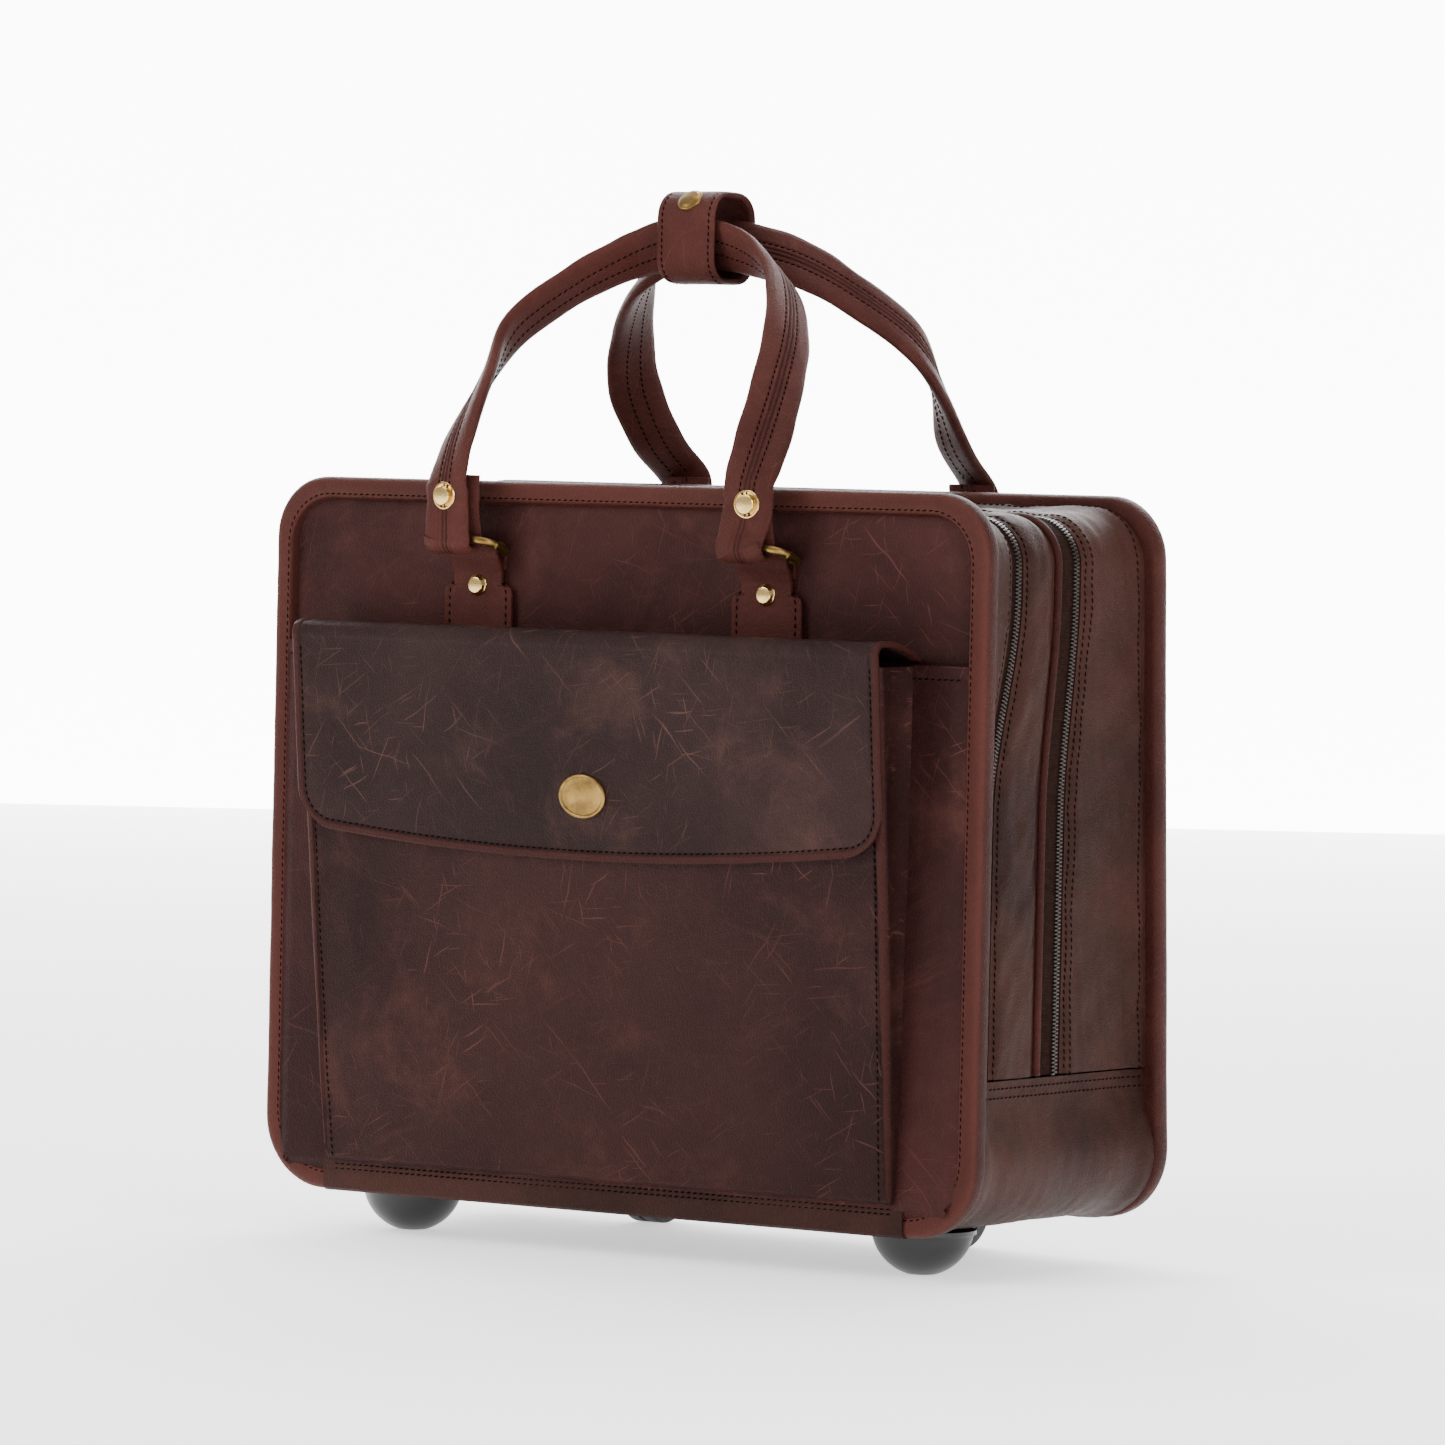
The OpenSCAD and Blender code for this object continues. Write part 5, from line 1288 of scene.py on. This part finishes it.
def strap_route(face, steps=9):
    """Middle line, width direction, face direction and thickness all the way over the arch."""
    left, right = half_route(face, -1), half_route(face, 1)
    table = left + [[WRAP_X, ARCH_D, ARCH_Z, 158, STRAP_T]] + right[::-1]
    spots = np.array([row[:3] for row in table], float)
    rows = []
    for i, row in enumerate(table):
        if row[3] is None:
            width = np.array([-1.0 if i < len(left) else 1.0, 0, 0])
        else:
            along = spots[i + 1] - spots[i - 1]
            along /= np.linalg.norm(along)
            front = np.array([0, -1.0, 0]) + along[1] * along
            front /= np.linalg.norm(front)
            turn = math.radians(row[3])
            width = np.cross(front * math.cos(turn) + np.cross(front, along) * math.sin(turn), along)
        rows.append([*spots[i], *width, row[4]])
    rows = np.array(rows)
    padded = np.concatenate([rows[:1], rows, rows[-1:]])
    out = []
    for i in range(len(rows) - 1):
        a, b, c, d = padded[i:i + 4]
        for j in range(steps):
            f = j / steps
            out.append(0.5 * (2 * b + (c - a) * f + (2 * a - 5 * b + 4 * c - d) * f ** 2
                              + (3 * b - a - 3 * c + d) * f ** 3))
    out.append(rows[-1])
    out = np.array(out)
    spots, across, thick = out[:, :3], out[:, 3:6], out[:, 6]
    along = directions(spots, False)
    across = across - (across * along).sum(1, keepdims=True) * along
    across /= np.linalg.norm(across, axis=1, keepdims=True)
    return spots, across, np.cross(along, across), thick


def strap_section(count=34):
    """Half widths and heights round a folded strap with rolled edges, a middle seam and sunk stitches."""
    half = np.concatenate([np.linspace(0, 5.2, 22)[:-1] / STRAP_HALF, np.linspace(5.2 / STRAP_HALF, 1, 14)])
    half[-4:] = [0.955, 0.98, 0.995, 1.0]
    u = np.concatenate([-half[::-1], half[1:]])
    dome = (1 - np.abs(u) ** 6) ** 0.5 * (0.86 + 0.14 * (1 - u ** 2))
    seam = -0.2 * np.exp(-((np.abs(u) * STRAP_HALF - 1.1) / 0.55) ** 2) + 0.05 * np.exp(-(u * STRAP_HALF / 0.9) ** 2)
    sunk = -0.14 * np.exp(-((np.abs(u) * STRAP_HALF - 3.7) / 0.7) ** 2)
    return u, dome, seam + sunk


def build_strap(face):
    spots, across, up, thick = strap_route(face)
    u, dome, sunk = strap_section()
    rows = []
    for k, (p, a, n, t) in enumerate(zip(spots, across, up, thick)):
        drift = 1 + 0.02 * math.sin(k * 0.31) + 0.015 * math.sin(k * 0.83 + 1)
        top = [p + a * STRAP_HALF * v * drift + n * t / 2 * (h + g) for v, h, g in zip(u, dome, sunk)]
        low = [p + a * STRAP_HALF * v * drift - n * t / 2 * h for v, h in zip(u[::-1][1:-1], dome[::-1][1:-1])]
        rows.append(top + low)
    rows = np.array(rows)
    rows = rows if face == "front" else to_back(rows)
    strap = skin(f"strap_{face}", rows, tube=True, caps=True, smooth=50)
    top_count = len(u)
    # The rim attribute here colours the two grooves beside the middle seam darker.
    seam_groove_dark = np.concatenate([np.exp(-((np.abs(u) * STRAP_HALF - 1.1) / 0.6) ** 2) * 0.8, np.zeros(len(u) - 2)])
    values = np.tile(seam_groove_dark, len(spots))
    if len(strap.data.vertices) == len(values):
        strap.data.attributes.new("rim", "FLOAT", "POINT").data.foreach_set("value", values.astype(np.float32))
    place(strap, f"{face}_handle", "handle_leather", HANDLE, f"{face}_handle_strap")
    use = slice(int(9 * 9.5), len(spots) - int(9 * 9.5))
    for k, v in enumerate((-3.7, 3.7)):
        path = spots[use] + across[use] * v + up[use] * (thick[use, None] / 2 * 0.96)
        normals = up[use].copy()
        if face == "back":
            path, normals = to_back(path), normals * [1, -1, 1]
        stitches(f"strap_stitches_{face}_{k}", path, normals, f"{face}_handle", slot="handle_leather", pitch=3.4,
                 on=surface_of(strap))
        inner = spots[use] + across[use] * v - up[use] * (thick[use, None] / 2 * 0.96)
        inner = inner if face == "front" else to_back(inner)
        stitches(f"strap_stitches_in_{face}_{k}", inner, -normals, f"{face}_handle", slot="handle_leather", pitch=3.4,
                 on=surface_of(strap))
    for side in (-1, 1):
        k = int(9 * 9.2) if side == -1 else len(spots) - 1 - int(9 * 9.2)
        local = turned_piece(HANDLE_RIVET, 40)
        rise = up[k] * thick[k] / 2 + spots[k]
        way = np.cross(up[k], across[k])
        rows = rise + local[..., :1] * across[k] + local[..., 1:2] * way + local[..., 2:] * up[k]
        rows = rows if face == "front" else to_back(rows)
        finish_metal(f"handle_rivet_{face}_{'lr'[side > 0]}", rows, f"{face}_handle", "bright_brass", BRIGHT,
                     *([f"{face}_handle_rivets"] if side == -1 else []))


build_strap("front")
build_strap("back")

# %% [markdown]
# ## The wrap
# A short leather band closes round both straps. Its tail overlaps the front and is held by a snap.

# %% Wrap and snap
wrap_low, wrap_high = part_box("wrap_band")
W_HALF_D = 19.0
W_HALF_Z = (wrap_high.z - wrap_low.z) / 2 / MM
W_MID = (WRAP_X, MEET_D, middle("wrap_band")[2])
W_HALF_X = 17.5


def wrap_line(inset, count=150):
    r = 14 - inset * 0.5
    w, h = W_HALF_D - inset, W_HALF_Z - inset
    points = (corner(w - r, -h + r, r, -90) + corner(w - r, h - r, r, 0)
              + corner(-w + r, h - r, r, 90) + corner(-w + r, -h + r, r, 180))
    return walk(np.array(points), count, True)


def band_rows(lines, width, edges=26):
    """Wraps a band across x over an outer line of [depth, z] with rolled, stitched edges."""
    across = edge_spaced(1.0, count=edges)
    gap = width * (1 - np.abs(across))
    drop = 0.9 * np.exp(-gap / 0.8) + 0.3 * np.exp(-((gap - 3.4) / 0.7) ** 2)
    lines = np.array(lines)
    way = directions(lines, True)
    out = np.stack([way[:, 1], -way[:, 0]], 1)
    rows = np.empty((len(lines), len(across), 3))
    rows[..., 0] = W_MID[0] + width * across[None]
    rows[..., 1] = W_MID[1] + lines[:, :1] - out[:, :1] * drop[None]
    rows[..., 2] = W_MID[2] + lines[:, 1:] - out[:, 1:] * drop[None]
    return rows, out


line = wrap_line(0.3)
rows, outward_2d = band_rows(line, W_HALF_X)
rows[..., 2] += wander(rows, 30, 91, 0.25)
wrap = skin("wrap", rows, ring=True)
solid = wrap.modifiers.new("thickness", "SOLIDIFY")
solid.thickness = 2.8 * MM
centre = Vector((W_MID[0] * MM, FRONT_Y + W_MID[1] * MM, W_MID[2] * MM))
total = sum((p.normal.dot(p.center - centre) * p.area for p in wrap.data.polygons))
solid.offset = -1 if total > 0 else 1
apply_all(wrap)
bpy.ops.object.shade_smooth_by_angle(angle=math.radians(40))
place(wrap, "back_handle", "handle_leather", HANDLE, "wrap_band")
normals = np.stack([np.zeros(len(line)), outward_2d[:, 0], outward_2d[:, 1]], 1)
for side in (-1, 1):
    path = np.stack([np.full(len(line), W_MID[0] + side * (W_HALF_X - 3.4)),
                     W_MID[1] + line[:, 0], W_MID[2] + line[:, 1]], 1)
    stitches(f"wrap_stitches_{'lr'[side > 0]}", path - normals * 0.25, normals, "back_handle", closed=True,
             slot="handle_leather", pitch=3.2, length=2.4)
SNAP = [(6.8, -0.6), (6.8, 0.4), (6.5, 0.8), (5.9, 0.9), (5.5, 1.3), (4.8, 1.9), (3.0, 2.2), (0.01, 2.3)]
local = turned_piece(SNAP, 40)
snap_spot = (W_MID[0], W_MID[1] - W_HALF_D + 4.6, W_MID[2] + W_HALF_Z - 5.0)
rows = set_down(local, snap_spot, math.radians(45), "front")
finish_metal("snap", rows, "back_handle", "antique_brass", ANTIQUE, "wrap_snap")

# %% [markdown]
# ## Feet
# Two smooth black domes, each with a flat rim, carry the front.

# %% Feet
foot_mid = middle("front_feet")
foot_low, foot_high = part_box("front_feet")
FOOT_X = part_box("foot_screws")[1].x / MM - 4.5
plate_z = foot_high.z / MM
dome = [(25.5 * math.sin(a), 25.5 - 0.8 - 25.5 * math.cos(a)) for a in np.linspace(0.25, 1.36, 26)]
dome = [(0.01, 0.0), (5.0, 0.0)] + [(r, z) for r, z in dome if z > 0.05]
dome += [(25.4, plate_z - 2.2), (26.4, plate_z - 1.6), (26.4, plate_z + 0.4)]
for side in (-1, 1):
    rows = turned_piece(dome, 72)
    rows += np.array([side * FOOT_X, foot_mid[1], 0.0])
    foot = skin(f"foot_{'lr'[side > 0]}", rows, ring=True)
    place(foot, "case", "black_plastic", BLACK, *(["front_feet"] if side == -1 else []))

# %% [markdown]
# ## Light and camera
# The case stands on a pale floor in front of a bright backdrop, under broad, soft lights. The camera
# stands in front and to the right, a little above the middle of the case.

# %% Stage, lights and camera
clear_selection()
bpy.ops.mesh.primitive_plane_add(size=14, location=(0, 0, 0))
floor = bpy.context.object
floor.name = "floor"


def paper(name, colour, glow):
    """Matt white paper with a little glow of its own, as when it is lit from behind."""
    material = bpy.data.materials.new(name)
    material.use_nodes = True
    shader = material.node_tree.nodes["Principled BSDF"]
    shader.inputs["Base Color"].default_value = (colour, colour, colour, 1)
    shader.inputs["Roughness"].default_value = 0.9
    shader.inputs["Specular IOR Level"].default_value = 0.1
    shader.inputs["Emission Color"].default_value = (1, 1, 1, 1)
    shader.inputs["Emission Strength"].default_value = glow
    return material


floor.data.materials.append(paper("floor_paper", 0.9, 0.9))
bpy.ops.mesh.primitive_plane_add(size=8, location=(-2.6, 3.8, 1.5),
                                 rotation=(math.radians(90), 0, math.radians(34.57)))
backdrop = bpy.context.object
backdrop.name = "backdrop"
backdrop.data.materials.append(paper("backdrop_paper", 0.9, 9.0))

world = bpy.data.worlds.new("studio")
bpy.context.scene.world = world
world.use_nodes = True
world.node_tree.nodes["Background"].inputs[0].default_value = (1, 1, 1, 1)
world.node_tree.nodes["Background"].inputs[1].default_value = 0.55


def lamp(name, place_at, aim, size, power, colour=(1, 1, 1)):
    clear_selection()
    bpy.ops.object.light_add(type="AREA", location=place_at)
    light = bpy.context.object
    light.name = name
    light.data.shape = "RECTANGLE"
    light.data.size, light.data.size_y = size
    light.data.energy = power
    light.data.color = colour
    light.rotation_euler = (Vector(aim) - Vector(place_at)).to_track_quat("-Z", "Y").to_euler()
    return light


lamp("key", (-1.4, -2.6, 1.9), (0, 0, 0.25), (1.4, 1.6), 85)
lamp("side", (2.6, -0.9, 1.2), (0, 0, 0.25), (1.2, 1.8), 50)
lamp("top", (0.2, 0.3, 2.6), (0, 0, 0.2), (2.0, 2.0), 46)

cam_data = bpy.data.cameras.new("camera")
camera = bpy.data.objects.new("camera", cam_data)
bpy.context.scene.collection.objects.link(camera)
bpy.context.scene.camera = camera
cam_data.sensor_width = 36
cam_data.lens = 214.95
yaw, pitch, roll = math.radians(34.57), math.radians(2.035), math.radians(1.241)
forward = Vector((-math.sin(yaw) * math.cos(pitch), math.cos(yaw) * math.cos(pitch), -math.sin(pitch)))
right = Vector((math.cos(yaw), math.sin(yaw), 0))
up = right.cross(forward)
right_2 = right * math.cos(roll) + up * math.sin(roll)
up_2 = -right * math.sin(roll) + up * math.cos(roll)
matrix = Matrix((right_2, up_2, -forward)).transposed().to_4x4()
matrix.translation = Vector((2.454877, -3.550913, 0.41679))
camera.matrix_world = matrix
